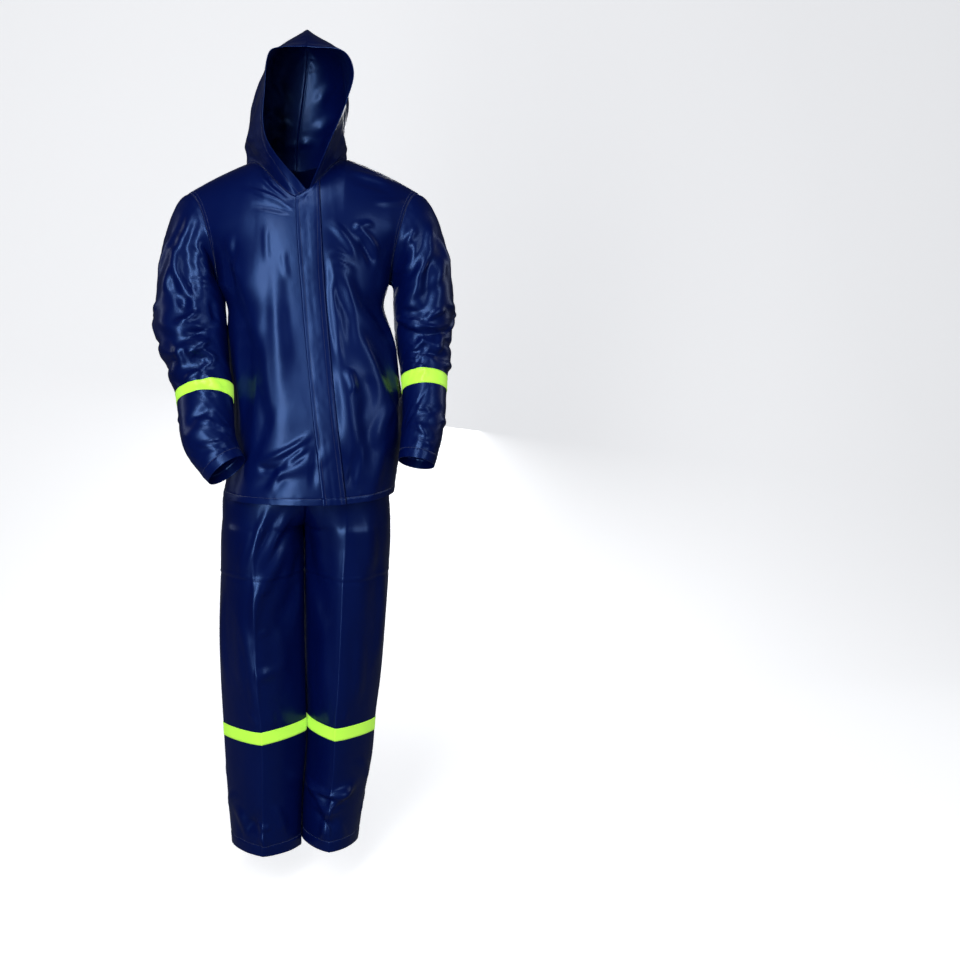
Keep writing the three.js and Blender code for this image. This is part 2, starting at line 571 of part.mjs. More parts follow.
// Where pieces meet, their cloth has one common way out, so that the cut edges lie face to face.
function joinNormals(pieces) {
  const shared = new Map();
  for (const piece of pieces) {
    piece.rows.forEach((row, i) =>
      row.forEach((point, j) => {
        const key = point.toArray().map((value) => Math.round(value * 100)).join();
        if (!shared.has(key)) shared.set(key, vector(0, 0, 0));
        shared.get(key).add(piece.normals[i][j].clone().normalize());
        piece.normals[i][j] = shared.get(key);
      }),
    );
  }
  shared.forEach((normal) => normal.normalize());
}

// Draws the edges of a piece back by half the gap of a seam.
function trimEdges(piece) {
  const { rows, closed } = piece;
  const [last, end] = [rows.length - 1, rows[0].length - 1];
  const shift = rows.map((row) => row.map(() => vector(0, 0, 0)));
  const draw = (i, j, inward) => {
    const way = inward.clone().sub(rows[i][j]).setLength(SEAM_GAP / 2);
    shift[i][j].add(way);
  };
  for (let j = 0; j <= end; j++) {
    draw(0, j, rows[1][j]);
    draw(last, j, rows[last - 1][j]);
  }
  for (let i = 0; i <= last && !closed; i++) {
    draw(i, 0, rows[i][1]);
    draw(i, end, rows[i][end - 1]);
  }
  piece.rows = rows.map((row, i) => row.map((point, j) => point.clone().add(shift[i][j])));
}

// A closed wall from `outer` millimetres outside the cloth's outer face to `outer` less `thick`.
function wall({ rows, normals, closed }, thick, outer = 0) {
  const [height, width] = [rows.length, rows[0].length];
  const positions = [];
  for (const level of [outer, outer - thick]) {
    rows.forEach((row, i) =>
      row.forEach((point, j) =>
        positions.push(...point.clone().addScaledVector(normals[i][j], level).toArray()),
      ),
    );
  }
  const outside = (i, j) => i * width + (j % width);
  const inside = (i, j) => outside(i, j) + height * width;
  const faces = [];
  const corner = (k) => vector(...positions.slice(3 * k, 3 * k + 3));
  // each four-sided face is split along its shorter diagonal
  const quad = (a, b, c, d) => {
    const split = corner(a).distanceTo(corner(c)) <= corner(b).distanceTo(corner(d));
    faces.push(...(split ? [a, b, c, a, c, d] : [b, c, d, b, d, a]));
  };
  const [top, spans] = [height - 1, closed ? width : width - 1];
  for (let i = 0; i < top; i++) {
    for (let j = 0; j < spans; j++) {
      quad(outside(i, j), outside(i, j + 1), outside(i + 1, j + 1), outside(i + 1, j));
      quad(inside(i, j), inside(i + 1, j), inside(i + 1, j + 1), inside(i, j + 1));
    }
  }
  for (let j = 0; j < spans; j++) {
    quad(outside(0, j + 1), outside(0, j), inside(0, j), inside(0, j + 1));
    quad(outside(top, j), outside(top, j + 1), inside(top, j + 1), inside(top, j));
  }
  for (let i = 0; i < top && !closed; i++) {
    quad(outside(i, 0), outside(i + 1, 0), inside(i + 1, 0), inside(i, 0));
    quad(outside(i + 1, spans), outside(i, spans), inside(i, spans), inside(i + 1, spans));
  }
  const geometry = new THREE.BufferGeometry();
  geometry.setAttribute("position", new THREE.Float32BufferAttribute(positions, 3));
  geometry.setIndex(signedVolume(positions, faces) < 0 ? faces.reverse() : faces);
  geometry.computeVertexNormals();
  return geometry;
}

function signedVolume(positions, faces) {
  const corner = (k) => vector(...positions.slice(3 * faces[k], 3 * faces[k] + 3));
  let volume = 0;
  for (let k = 0; k < faces.length; k += 3) volume += corner(k).dot(corner(k + 1).cross(corner(k + 2)));
  return volume;
}

// Rows of one piece, or of several side by side, as a piece that is laid on them
const laidOn = (rows, normals, closed = false) => ({ rows, normals, closed });
const takeRows = (piece, [first, last]) =>
  laidOn(piece.rows.slice(first, last + 1), piece.normals.slice(first, last + 1), piece.closed);

// Materials
const coated = new THREE.MeshStandardMaterial({ color: 0x0b1a4e, roughness: 0.28, metalness: 0 });
const coatedTrousers = new THREE.MeshStandardMaterial({ color: 0x0a1746, roughness: 0.34, metalness: 0 });
const reflective = new THREE.MeshStandardMaterial({ color: 0xb6f02a, roughness: 0.45, metalness: 0 });
const zipTape = new THREE.MeshStandardMaterial({ color: 0x0a1030, roughness: 0.8, metalness: 0 });
const elastic = new THREE.MeshStandardMaterial({ color: 0x0a1540, roughness: 0.6, metalness: 0 });

const suit = new THREE.Group();
suit.name = "rain_suit";

function addPiece(group, name, geometry, material) {
  const mesh = new THREE.Mesh(geometry, material);
  mesh.name = name;
  group.add(mesh);
}

// Jacket
const sides = [RIGHT, LEFT];
const sideName = { [RIGHT]: "right", [LEFT]: "left" };
const frontRows = Object.fromEntries(sides.map((side) => [side, frontGrid(side)]));
const backRows = backGrid();
const sleeveParts = Object.fromEntries(
  sides.map((side) => [side, sleeveGrid(side, frontRows[side], backRows)]),
);
const fronts = Object.fromEntries(sides.map((side) => [side, cloth(frontRows[side], side)]));
const back = cloth(backRows, 1);
const sleeves = Object.fromEntries(sides.map((side) => [side, cloth(sleeveParts[side].rows, -side, true)]));
const hoods = Object.fromEntries(
  sides.map((side) => [side, cloth(hoodGrid(side, frontRows[side], backRows), side)]),
);
const jacketPieces = [...Object.values(fronts), back, ...Object.values(sleeves), ...Object.values(hoods)];
joinNormals(jacketPieces);
jacketPieces.forEach(trimEdges);

const jacket = new THREE.Group();
suit.add(jacket);
for (const side of sides) {
  addPiece(jacket, `jacket_front_${sideName[side]}`, wall(fronts[side], CLOTH), coated);
  addPiece(jacket, `sleeve_${sideName[side]}`, wall(sleeves[side], CLOTH), coated);
  addPiece(jacket, `hood_${sideName[side]}`, wall(hoods[side], CLOTH), coated);
  const band = takeRows(sleeves[side], sleeveParts[side].tapeRows);
  addPiece(jacket, `sleeve_tape_${sideName[side]}`, wall(band, TAPE, LAID_GAP + TAPE), reflective);
}
addPiece(jacket, "jacket_back", wall(back, CLOTH), coated);

// The storm flap lies on both fronts, and the zip's tape behind them.
function overFronts(share) {
  const strip = (piece, order) =>
    piece.rows.map((row, i) => {
      const points = [row[0].clone().lerp(row[1], share), row[0]];
      const between = piece.normals[i][0].clone().lerp(piece.normals[i][1], share).normalize();
      const normals = [between, piece.normals[i][0]];
      return order > 0 ? [points.reverse(), normals.reverse()] : [points, normals];
    });
  const [right, left] = [strip(fronts[RIGHT], RIGHT), strip(fronts[LEFT], LEFT)];
  const join = (part) => right.map((row, i) => [...row[part], ...left[i][part]]);
  return laidOn(join(0), join(1));
}
addPiece(jacket, "storm_flap", wall(overFronts(1), CLOTH, LAID_GAP + CLOTH), coated);
const zipShare = ZIP_HALF_WIDTH / FLAP_HALF_WIDTH;
addPiece(jacket, "front_zip", wall(overFronts(zipShare), TAPE, -CLOTH - LAID_GAP), zipTape);

// The tape across the back, on points of the back found by their x and z
function onBack(x, z) {
  const wide = SHOULDER_X;
  let [turn, t] = [0, 0.2];
  let point = vector(0, 0, 0);
  for (let k = 0; k < 60; k++) {
    point = t < 0 ? bodyPoint(Math.PI - turn, ARMPIT + t * 260) : yokePoint(turn, t, x, true);
    turn += (x - point.x) / wide;
    t += (z - point.z) / 400;
  }
  return point;
}
const tapeRows = steps(BACK_TAPE.z, BACK_TAPE.z + BACK_TAPE.height, 2).map((z) =>
  steps(BACK_TAPE.width / 2, -BACK_TAPE.width / 2, 10).map((x) => onBack(BACK_TAPE.x + x, z)),
);
const backTape = cloth(tapeRows, 1);
joinNormals([backTape]);
addPiece(jacket, "back_tape", wall(backTape, TAPE, 2 * LAID_GAP + TAPE), reflective);

// Trousers
const trousers = new THREE.Group();
suit.add(trousers);
const panels = sides.flatMap((side) =>
  [false, true].map((isBack) => {
    const { rows, tapeRows: band } = trouserGrid(side, isBack);
    return { side, isBack, band, piece: cloth(rows, isBack ? side : -side) };
  }),
);
const panel = (side, isBack) => panels.find((p) => p.side === side && p.isBack === isBack);

// One ring round from the front and back of one leg, or of both
function ringOf(parts) {
  return parts.flatMap(({ row, reversed }) => (reversed ? [...row].reverse() : row).slice(0, -1));
}
const waistParts = (part) =>
  ringOf([
    { row: panel(RIGHT, false).piece[part].at(-1), reversed: false },
    { row: panel(LEFT, false).piece[part].at(-1), reversed: true },
    { row: panel(LEFT, true).piece[part].at(-1), reversed: false },
    { row: panel(RIGHT, true).piece[part].at(-1), reversed: true },
  ]);
const waistRing = waistParts("rows");
const waistTop = sectionAt(HIP, "z", WAIST + WAISTBAND);
const waistSeam = sectionAt(HIP, "z", WAIST);
const topRing = waistRing.map((point) =>
  vector(
    waistTop.x + ((point.x - waistSeam.x) * waistTop.halfWidth) / waistSeam.halfWidth,
    (point.y * waistTop.front) / waistSeam.front,
    WAIST + WAISTBAND,
  ),
);
const waistband = cloth([waistRing, topRing], 1, true);
joinNormals([...panels.map((p) => p.piece), waistband]);
[...panels.map((p) => p.piece), waistband].forEach(trimEdges);

for (const { side, isBack, piece } of panels) {
  const name = `trouser_${isBack ? "back" : "front"}_${sideName[side]}`;
  addPiece(trousers, name, wall(piece, CLOTH), coatedTrousers);
}
addPiece(trousers, "waistband", wall(waistband, CLOTH), elastic);
for (const side of sides) {
  const [front, behind] = [panel(side, false), panel(side, true)];
  const [first, last] = front.band;
  const ring = (part, i) =>
    ringOf([
      { row: front.piece[part][i], reversed: false },
      { row: behind.piece[part][i], reversed: true },
    ]);
  const levels = steps(first, last, last - first);
  const band = laidOn(levels.map((i) => ring("rows", i)), levels.map((i) => ring("normals", i)), true);
  addPiece(trousers, `leg_tape_${sideName[side]}`, wall(band, TAPE, LAID_GAP + TAPE), reflective);
}

suit.position.z = -HOLD_HEIGHT;

export default suit;
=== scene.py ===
import math
import bpy
import numpy as np
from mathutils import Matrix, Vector
from mathutils.bvhtree import BVHTree


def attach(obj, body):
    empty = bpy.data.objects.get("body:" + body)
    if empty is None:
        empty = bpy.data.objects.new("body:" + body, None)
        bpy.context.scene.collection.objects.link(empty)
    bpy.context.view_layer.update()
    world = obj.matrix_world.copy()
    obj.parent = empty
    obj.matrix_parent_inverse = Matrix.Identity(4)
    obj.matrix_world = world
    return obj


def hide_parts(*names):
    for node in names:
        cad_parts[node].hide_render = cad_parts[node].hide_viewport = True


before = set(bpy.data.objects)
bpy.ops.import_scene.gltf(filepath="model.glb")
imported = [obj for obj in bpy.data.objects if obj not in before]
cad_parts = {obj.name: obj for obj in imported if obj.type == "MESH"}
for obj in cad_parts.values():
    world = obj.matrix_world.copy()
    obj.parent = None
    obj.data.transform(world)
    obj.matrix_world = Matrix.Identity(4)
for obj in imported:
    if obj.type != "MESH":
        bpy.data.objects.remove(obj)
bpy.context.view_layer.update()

# Camera. It stands in front of the suit and looks down on it a little, as in the photo, with the
# suit left of the middle of the frame.
HOLD_HEIGHT = 1.560
camera_data = bpy.data.cameras.new("camera")
camera_data.sensor_width = 36
camera_data.lens = 50.7
camera_data.shift_x = 0.184
camera = bpy.data.objects.new("camera", camera_data)
camera.location = (0, -2.9, 1.31 - HOLD_HEIGHT)
camera.rotation_euler = (math.radians(90 - 7.9), 0, 0)
bpy.context.collection.objects.link(camera)
bpy.context.scene.camera = camera


# Floor, a plain pale sweep that rises behind the suit, and soft studio light from large lamps. The
# floor and the world are pale to the camera and dim in what they throw back onto the glossy cloth.
def node_in(tree, kind, inputs=None, **settings):
    node = tree.nodes.new(kind)
    for key, value in settings.items():
        setattr(node, key, value)
    for key, value in (inputs or {}).items():
        if isinstance(value, bpy.types.NodeSocket):
            tree.links.new(value, node.inputs[key])
        else:
            node.inputs[key].default_value = value
    return node


def new_material(name):
    material = bpy.data.materials.new(name)
    material.use_nodes = True
    return material, material.node_tree, material.node_tree.nodes["Principled BSDF"]


def studio_floor():
    material, tree, shader = new_material("studio_floor")
    seen = node_in(tree, "ShaderNodeLightPath").outputs["Is Camera Ray"]
    colour = node_in(tree, "ShaderNodeMix", {"Factor": seen}, data_type="RGBA")
    colour.inputs["A"].default_value = (0.12, 0.13, 0.16, 1)
    colour.inputs["B"].default_value = (0.86, 0.87, 0.88, 1)
    glow = node_in(tree, "ShaderNodeMath", {0: seen, 1: 0.62}, operation="MULTIPLY")
    tree.links.new(colour.outputs["Result"], shader.inputs["Base Color"])
    tree.links.new(glow.outputs[0], shader.inputs["Emission Strength"])
    shader.inputs["Emission Color"].default_value = (0.96, 0.97, 1.0, 1)
    shader.inputs["Roughness"].default_value = 0.85
    profile = [(-6.0, 0.0), (1.6, 0.0)]
    profile += [(1.6 + 1.6 * math.sin(a), 1.6 - 1.6 * math.cos(a)) for a in np.linspace(0.1, math.pi / 2, 14)]
    profile += [(3.2, 6.0)]
    verts = [(x, y, z - HOLD_HEIGHT) for y, z in profile for x in (-7.0, 7.0)]
    faces = [(2 * i, 2 * i + 1, 2 * i + 3, 2 * i + 2) for i in range(len(profile) - 1)]
    mesh = bpy.data.meshes.new("studio_floor")
    mesh.from_pydata(verts, [], faces)
    mesh.shade_smooth()
    mesh.materials.append(material)
    floor = bpy.data.objects.new("studio_floor", mesh)
    bpy.context.collection.objects.link(floor)


def soft_lamp(name, place, aim, size, power, tall=None):
    data = bpy.data.lights.new(name, "AREA")
    data.shape = "RECTANGLE"
    data.size = size
    data.size_y = tall or size
    data.energy = power
    lamp = bpy.data.objects.new(name, data)
    lamp.location = place
    lamp.rotation_euler = (Vector(aim) - Vector(place)).to_track_quat("-Z", "Y").to_euler()
    lamp.visible_camera = False
    bpy.context.collection.objects.link(lamp)


studio_floor()
soft_lamp("key", (-0.8, -2.7, 0.15), (0, 0, -0.45), 0.7, 52, tall=2.3)
soft_lamp("fill", (2.3, -2.2, 0.2), (0, 0, -0.6), 0.6, 16, tall=2.0)
soft_lamp("low", (-1.0, -2.3, -1.2), (0, 0, -1.1), 0.6, 10)
soft_lamp("top", (-0.2, -1.9, 2.3), (0, 0, -0.3), 1.0, 26)
soft_lamp("behind", (0.3, 2.8, 0.0), (0, 0, -0.6), 0.9, 34, tall=1.8)
soft_lamp("side_left", (-3.0, 1.0, 0.4), (0, 0, -0.5), 0.6, 6, tall=1.8)
soft_lamp("side_right", (3.0, 1.0, 0.4), (0, 0, -0.5), 0.6, 6, tall=1.8)
world = bpy.data.worlds.new("studio")
world.use_nodes = True
seen = node_in(world.node_tree, "ShaderNodeLightPath").outputs["Is Camera Ray"]
strength = node_in(world.node_tree, "ShaderNodeMapRange", {"Value": seen, "To Min": 0.035, "To Max": 0.99})
sky = world.node_tree.nodes["Background"]
sky.inputs["Color"].default_value = (0.90, 0.94, 1.0, 1)
world.node_tree.links.new(strength.outputs["Result"], sky.inputs["Strength"])
bpy.context.scene.world = world
bpy.context.scene.view_settings.view_transform = "Standard"


# Coated cloth. The suit is cut from woven polyester with a smooth, glossy navy coating, which
# creases sharply and has a faint grain. Every panel of the jacket is made of it.
def new_group(name, sockets):
    group = bpy.data.node_groups.new(name, "ShaderNodeTree")
    for label, way, kind, value in sockets:
        socket = group.interface.new_socket(name=label, in_out=way, socket_type=kind)
        if value is not None:
            socket.default_value = value
    ends = group.nodes.new("NodeGroupInput"), group.nodes.new("NodeGroupOutput")
    return group, ends[0], ends[1]


def coating_grain_group():
    """Fine grain of the coating over the weave, and small crinkles left by folding and packing."""
    group, start, end = new_group(
        "coating_grain",
        [
            ("Grain Size", "INPUT", "NodeSocketFloat", 900.0),
            ("Grain Height", "INPUT", "NodeSocketFloat", 0.1),
            ("Crinkle Size", "INPUT", "NodeSocketFloat", 26.0),
            ("Crinkle Height", "INPUT", "NodeSocketFloat", 1.0),
            ("Height", "OUTPUT", "NodeSocketFloat", None),
            ("Tone", "OUTPUT", "NodeSocketFloat", None),
        ],
    )
    place = node_in(group, "ShaderNodeTexCoord").outputs["Object"]
    grain = node_in(
        group, "ShaderNodeTexNoise", {"Vector": place, "Scale": start.outputs["Grain Size"], "Detail": 2.0}
    )
    bent = node_in(group, "ShaderNodeTexNoise", {"Vector": place, "Scale": 9.0, "Detail": 2.0})
    shift = node_in(
        group,
        "ShaderNodeVectorMath",
        {0: bent.outputs["Color"], 1: (0.045, 0.045, 0.045)},
        operation="MULTIPLY",
    )
    warped = node_in(
        group, "ShaderNodeVectorMath", {0: place, 1: shift.outputs["Vector"]}, operation="ADD"
    )
    crinkle = node_in(
        group,
        "ShaderNodeTexVoronoi",
        {"Vector": warped.outputs["Vector"], "Scale": start.outputs["Crinkle Size"]},
        feature="SMOOTH_F1",
    )
    crinkle.inputs["Smoothness"].default_value = 0.35
    grain_height = node_in(
        group,
        "ShaderNodeMath",
        {0: grain.outputs["Fac"], 1: start.outputs["Grain Height"]},
        operation="MULTIPLY",
    )
    crinkle_height = node_in(
        group,
        "ShaderNodeMath",
        {0: crinkle.outputs["Distance"], 1: start.outputs["Crinkle Height"]},
        operation="MULTIPLY",
    )
    height = node_in(
        group,
        "ShaderNodeMath",
        {0: grain_height.outputs[0], 1: crinkle_height.outputs[0]},
        operation="ADD",
    )
    tone = node_in(group, "ShaderNodeTexNoise", {"Vector": place, "Scale": 5.0, "Detail": 4.0})
    group.links.new(height.outputs[0], end.inputs["Height"])
    group.links.new(tone.outputs["Fac"], end.inputs["Tone"])
    return group


coating_grain = coating_grain_group()


def coated_cloth_material(name, deep, pale, roughness, coat):
    material, tree, shader = new_material(name)
    grain = node_in(tree, "ShaderNodeGroup", node_tree=coating_grain)
    grain.inputs["Grain Size"].default_value = 700.0
    grain.inputs["Grain Height"].default_value = 0.06
    grain.inputs["Crinkle Size"].default_value = 30.0
    grain.inputs["Crinkle Height"].default_value = 0.8
    tone = node_in(
        tree, "ShaderNodeMapRange", {"Value": grain.outputs["Tone"], "From Min": 0.3, "From Max": 0.7}
    )
    colour = node_in(tree, "ShaderNodeMix", {"Factor": tone.outputs["Result"]}, data_type="RGBA")
    colour.inputs["A"].default_value = (*deep, 1)
    colour.inputs["B"].default_value = (*pale, 1)
    tree.links.new(colour.outputs["Result"], shader.inputs["Base Color"])
    gloss = node_in(
        tree,
        "ShaderNodeMapRange",
        {
            "Value": grain.outputs["Tone"],
            "From Min": 0.3,
            "From Max": 0.7,
            "To Min": roughness - 0.03,
            "To Max": roughness + 0.04,
        },
    )
    tree.links.new(gloss.outputs["Result"], shader.inputs["Roughness"])
    bump = node_in(tree, "ShaderNodeBump", {"Height": grain.outputs["Height"]})
    bump.inputs["Strength"].default_value = 0.35
    bump.inputs["Distance"].default_value = 0.0012
    tree.links.new(bump.outputs["Normal"], shader.inputs["Normal"])
    shader.inputs["Coat Weight"].default_value = coat
    shader.inputs["Coat Roughness"].default_value = 0.2
    shader.inputs["Specular Tint"].default_value = (0.19, 0.42, 1.0, 1)
    shader.inputs["Specular IOR Level"].default_value = 0.7
    return material


coated_navy = coated_cloth_material(
    "coated_navy", deep=(0.0003, 0.0032, 0.056), pale=(0.0005, 0.0046, 0.072), roughness=0.35, coat=0.05
)


# Jacket body. Two fronts and a back are cut from the coated cloth and sewn at the shoulders and
# sides. The cloth hangs from the shoulders in long soft folds, and the hem is turned up and sewn.
def section_at(sections, key, at):
    """Every column of a table at values of its key column, on a smooth curve through the rows."""
    keys = np.array([row[key] for row in sections], float)
    at = np.clip(np.asarray(at, float), keys[0], keys[-1])
    k = np.clip(np.searchsorted(keys, at, side="right") - 1, 0, len(keys) - 2)
    span = keys[k + 1] - keys[k]
    t = (at - keys[k]) / span
    rows = np.arange(len(keys))
    before, after = np.maximum(rows - 1, 0), np.minimum(rows + 1, len(keys) - 1)
    section = {}
    for name in sections[0]:
        column = np.array([row[name] for row in sections], float)
        slope = (column[after] - column[before]) / (keys[after] - keys[before])
        m, n, p, q = slope[k] * span, slope[k + 1] * span, column[k], column[k + 1]
        section[name] = p + t * (m + t * (3 * (q - p) - 2 * m - n + t * (2 * (p - q) + m + n)))
    return section


def table(columns, *rows):
    names = columns.split()
    return [dict(zip(names, row)) for row in rows]


def smooth(value):
    t = np.clip(value, 0, 1)
    return t * t * (3 - 2 * t)


def bell(value, width):
    """A rounded bump of height 1 where the value is 0."""
    return np.exp(-((value / width) ** 2))


def power(value, exponent):
    return np.sign(value) * np.abs(value) ** exponent


def mix(a, b, t):
    return a + (b - a) * t


def turned_folds(folds, turn, level, radius):
    """Height of soft folds that are placed by the angle round a section and the level along it."""
    height = 0
    for fold in folds:
        away = (np.degrees(turn) - fold["turn"] + 180) % 360 - 180
        across, up = np.radians(away) * radius, level - fold["level"]
        lean = math.radians(fold["lean"])
        along = across * math.cos(lean) + up * math.sin(lean)
        beside = up * math.cos(lean) - across * math.sin(lean)
        reach = np.minimum(1, np.abs(along) / (fold["length"] / 2))
        ends = np.cos(reach * math.pi / 2) ** 2
        height = height + fold["height"] * bell(beside, fold["width"]) * ends
    return height


def cloth_normals(points, turned, closed=False):
    """The way out of the cloth at each point of a grid."""
    across = np.gradient(points, axis=1)
    if closed:
        wide = np.concatenate([points[:, -1:], points, points[:, :1]], axis=1)
        across = (wide[:, 2:] - wide[:, :-2]) / 2
    along = np.gradient(points, axis=0)
    normals = turned * np.cross(across, along)
    return normals / np.maximum(np.linalg.norm(normals, axis=2, keepdims=True), 1e-9)


# Where each view of the suit looks from: the axis across the view, and the way its cloth faces
VIEW_ACROSS = {"front": (1, 0, 0), "back": (-1, 0, 0), "left": (0, 1, 0), "right": (0, -1, 0)}
VIEW_FACING = {"front": (0, -1, 0), "back": (0, 1, 0), "left": (1, 0, 0), "right": (-1, 0, 0)}


def creases(points, normals, view, folds, far_side=1):
    """Height of creases drawn as lines on one view of the suit. A crease has straight flanks of its
    width and a crest of its own radius, and fades out at both ends. The flank on the far side can
    be wider than the near one."""
    across = points @ np.array(VIEW_ACROSS[view], float)
    up = points[..., 2]
    faces = smooth((normals @ np.array(VIEW_FACING[view], float) - 0.02) / 0.4)
    height = np.zeros(across.shape)
    for fold in folds:
        dx, dz = fold["to_x"] - fold["x"], fold["to_z"] - fold["z"]
        length = math.hypot(dx, dz)
        along = ((across - fold["x"]) * dx + (up - fold["z"]) * dz) / length**2
        bow = 4 * fold["bow"] * along * (1 - along)
        beside = ((up - fold["z"]) * dx - (across - fold["x"]) * dz) / length - bow
        fade = smooth(along / 0.35) * smooth((1 - along) / 0.35)
        crest = fold["crest"]
        flank = fold["width"] * np.where(beside > 0, far_side, 1)
        slope = 1 - (np.sqrt(beside**2 + crest**2) - crest) / flank
        height += fold["height"] * fade * smooth(slope) * np.clip(slope, 0, 1) ** 0.3
    return height * faces


class Ripple:
    """Seeded smooth noise over two lengths in millimetres, for wrinkles and puckers."""

    def __init__(self, seed):
        self.ways = np.random.default_rng(seed).uniform(0, 2 * math.pi, (256, 256))

    def __call__(self, u, v):
        i, j = np.floor(u).astype(int), np.floor(v).astype(int)
        a, b = u - i, v - j

        def corner(p, q):
            way = self.ways[(i + p) % 256, (j + q) % 256]
            return np.cos(way) * (a - p) + np.sin(way) * (b - q)

        s, t = a * a * a * (a * (6 * a - 15) + 10), b * b * b * (b * (6 * b - 15) + 10)
        return mix(mix(corner(0, 0), corner(1, 0), s), mix(corner(0, 1), corner(1, 1), s), t)


def arc_lengths(points, axis):
    step = np.linalg.norm(np.diff(points, axis=axis), axis=2)
    pad = [(1, 0), (0, 0)] if axis == 0 else [(0, 0), (1, 0)]
    return np.pad(np.cumsum(step, axis=axis), pad)


def wrinkles(u, v, seed, size, stretch, lean, sharp):
    """Random wrinkles of a size, drawn out along one direction. Sharp ones have narrow crests."""
    c, s = math.cos(math.radians(lean)), math.sin(math.radians(lean))
    along, beside = (u * c + v * s) / (size * stretch), (v * c - u * s) / size
    noise = Ripple(seed)
    warp = noise(along * 0.7 + 31.7, beside * 0.7 + 11.3)
    value = noise(along + warp, beside + 1.5 * warp) + 0.45 * noise(along * 2.1 + 7, beside * 2.1 + 3)
    ridged = 0.5 - np.sqrt(value**2 + 0.001) * 1.6
    return mix(value, ridged, sharp)


def grid_quads(points, closed=False):
    """The quads between the points of a grid, which is round and joined up where it is closed."""
    index = np.arange(points.shape[0] * points.shape[1]).reshape(points.shape[:2])
    right = np.roll(index, -1, axis=1) if closed else index[:, 1:]
    left = index if closed else index[:, :-1]
    return np.stack([left[:-1], right[:-1], right[1:], left[1:]], axis=-1).reshape(-1, 4)


def made_piece(name, points, faces, material):
    """A piece from points in millimetres above the ground."""
    mesh = bpy.data.meshes.new(name)
    mesh.from_pydata((points / 1000 - np.array([0, 0, HOLD_HEIGHT])).tolist(), [], faces)
    mesh.materials.append(material)
    piece = bpy.data.objects.new(name, mesh)
    bpy.context.collection.objects.link(piece)
    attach(piece, "root")
    return piece


def cloth_piece(name, points, material, thick=1.3, closed=False, turned=1):
    """A shell of cloth, with a grid of points on its outer face."""
    quads = grid_quads(points, closed)
    if turned < 0:
        quads = quads[:, ::-1]
    piece = made_piece(name, points.reshape(-1, 3), quads.tolist(), material)
    piece.data.shade_smooth()
    shell = piece.modifiers.new("shell", "SOLIDIFY")
    shell.thickness = thick / 1000
    shell.offset = -1
    shell.use_even_offset = False
    return piece


HEM = 876
ARMPIT = 1325
THROAT = 1500
THROAT_X = 9
BODY_HEM_DEPTH = 13.5
# Half the width that the storm flap covers, and half the gap between the fronts behind it
FLAP_EDGE = 25
CLOSED_EDGE = 1.5
BODY_POWER = 2 / 2.3
QUARTER = math.pi / 2
BODY = table(
    "z x half_width front back",
    (850, 10, 185, 158, 147),
    (876, 11, 184, 158, 146),
    (940, 21, 182, 156, 142),
    (1010, 30, 183, 152, 138),
    (1080, 33, 184, 147, 133),
    (1150, 26, 181, 141, 127),
    (1230, 13, 174, 134, 121),
    (1280, 5, 166, 130, 119),
    (1325, 0, 181, 127, 120),
)
BODY_FOLDS = table(
    "turn level lean length width height",
    (-38, 1130, 82, 420, 22, 9),
    (-66, 1010, 96, 360, 26, -8),
    (-20, 1220, 86, 300, 18, 5),
    (36, 1180, 112, 300, 22, 8),
    (60, 1120, 118, 300, 26, -9),
    (44, 960, 84, 260, 24, 6),
    (82, 1110, 90, 260, 34, -11),
    (-12, 950, 28, 170, 16, 6),
    (-24, 925, 16, 130, 14, -6),
    (132, 1110, 88, 560, 20, 13),
    (148, 1110, 90, 520, 18, -7),
    (172, 1020, 87, 460, 28, 7),
    (204, 1050, 92, 480, 26, -5),
    (226, 1130, 91, 540, 20, 12),
)
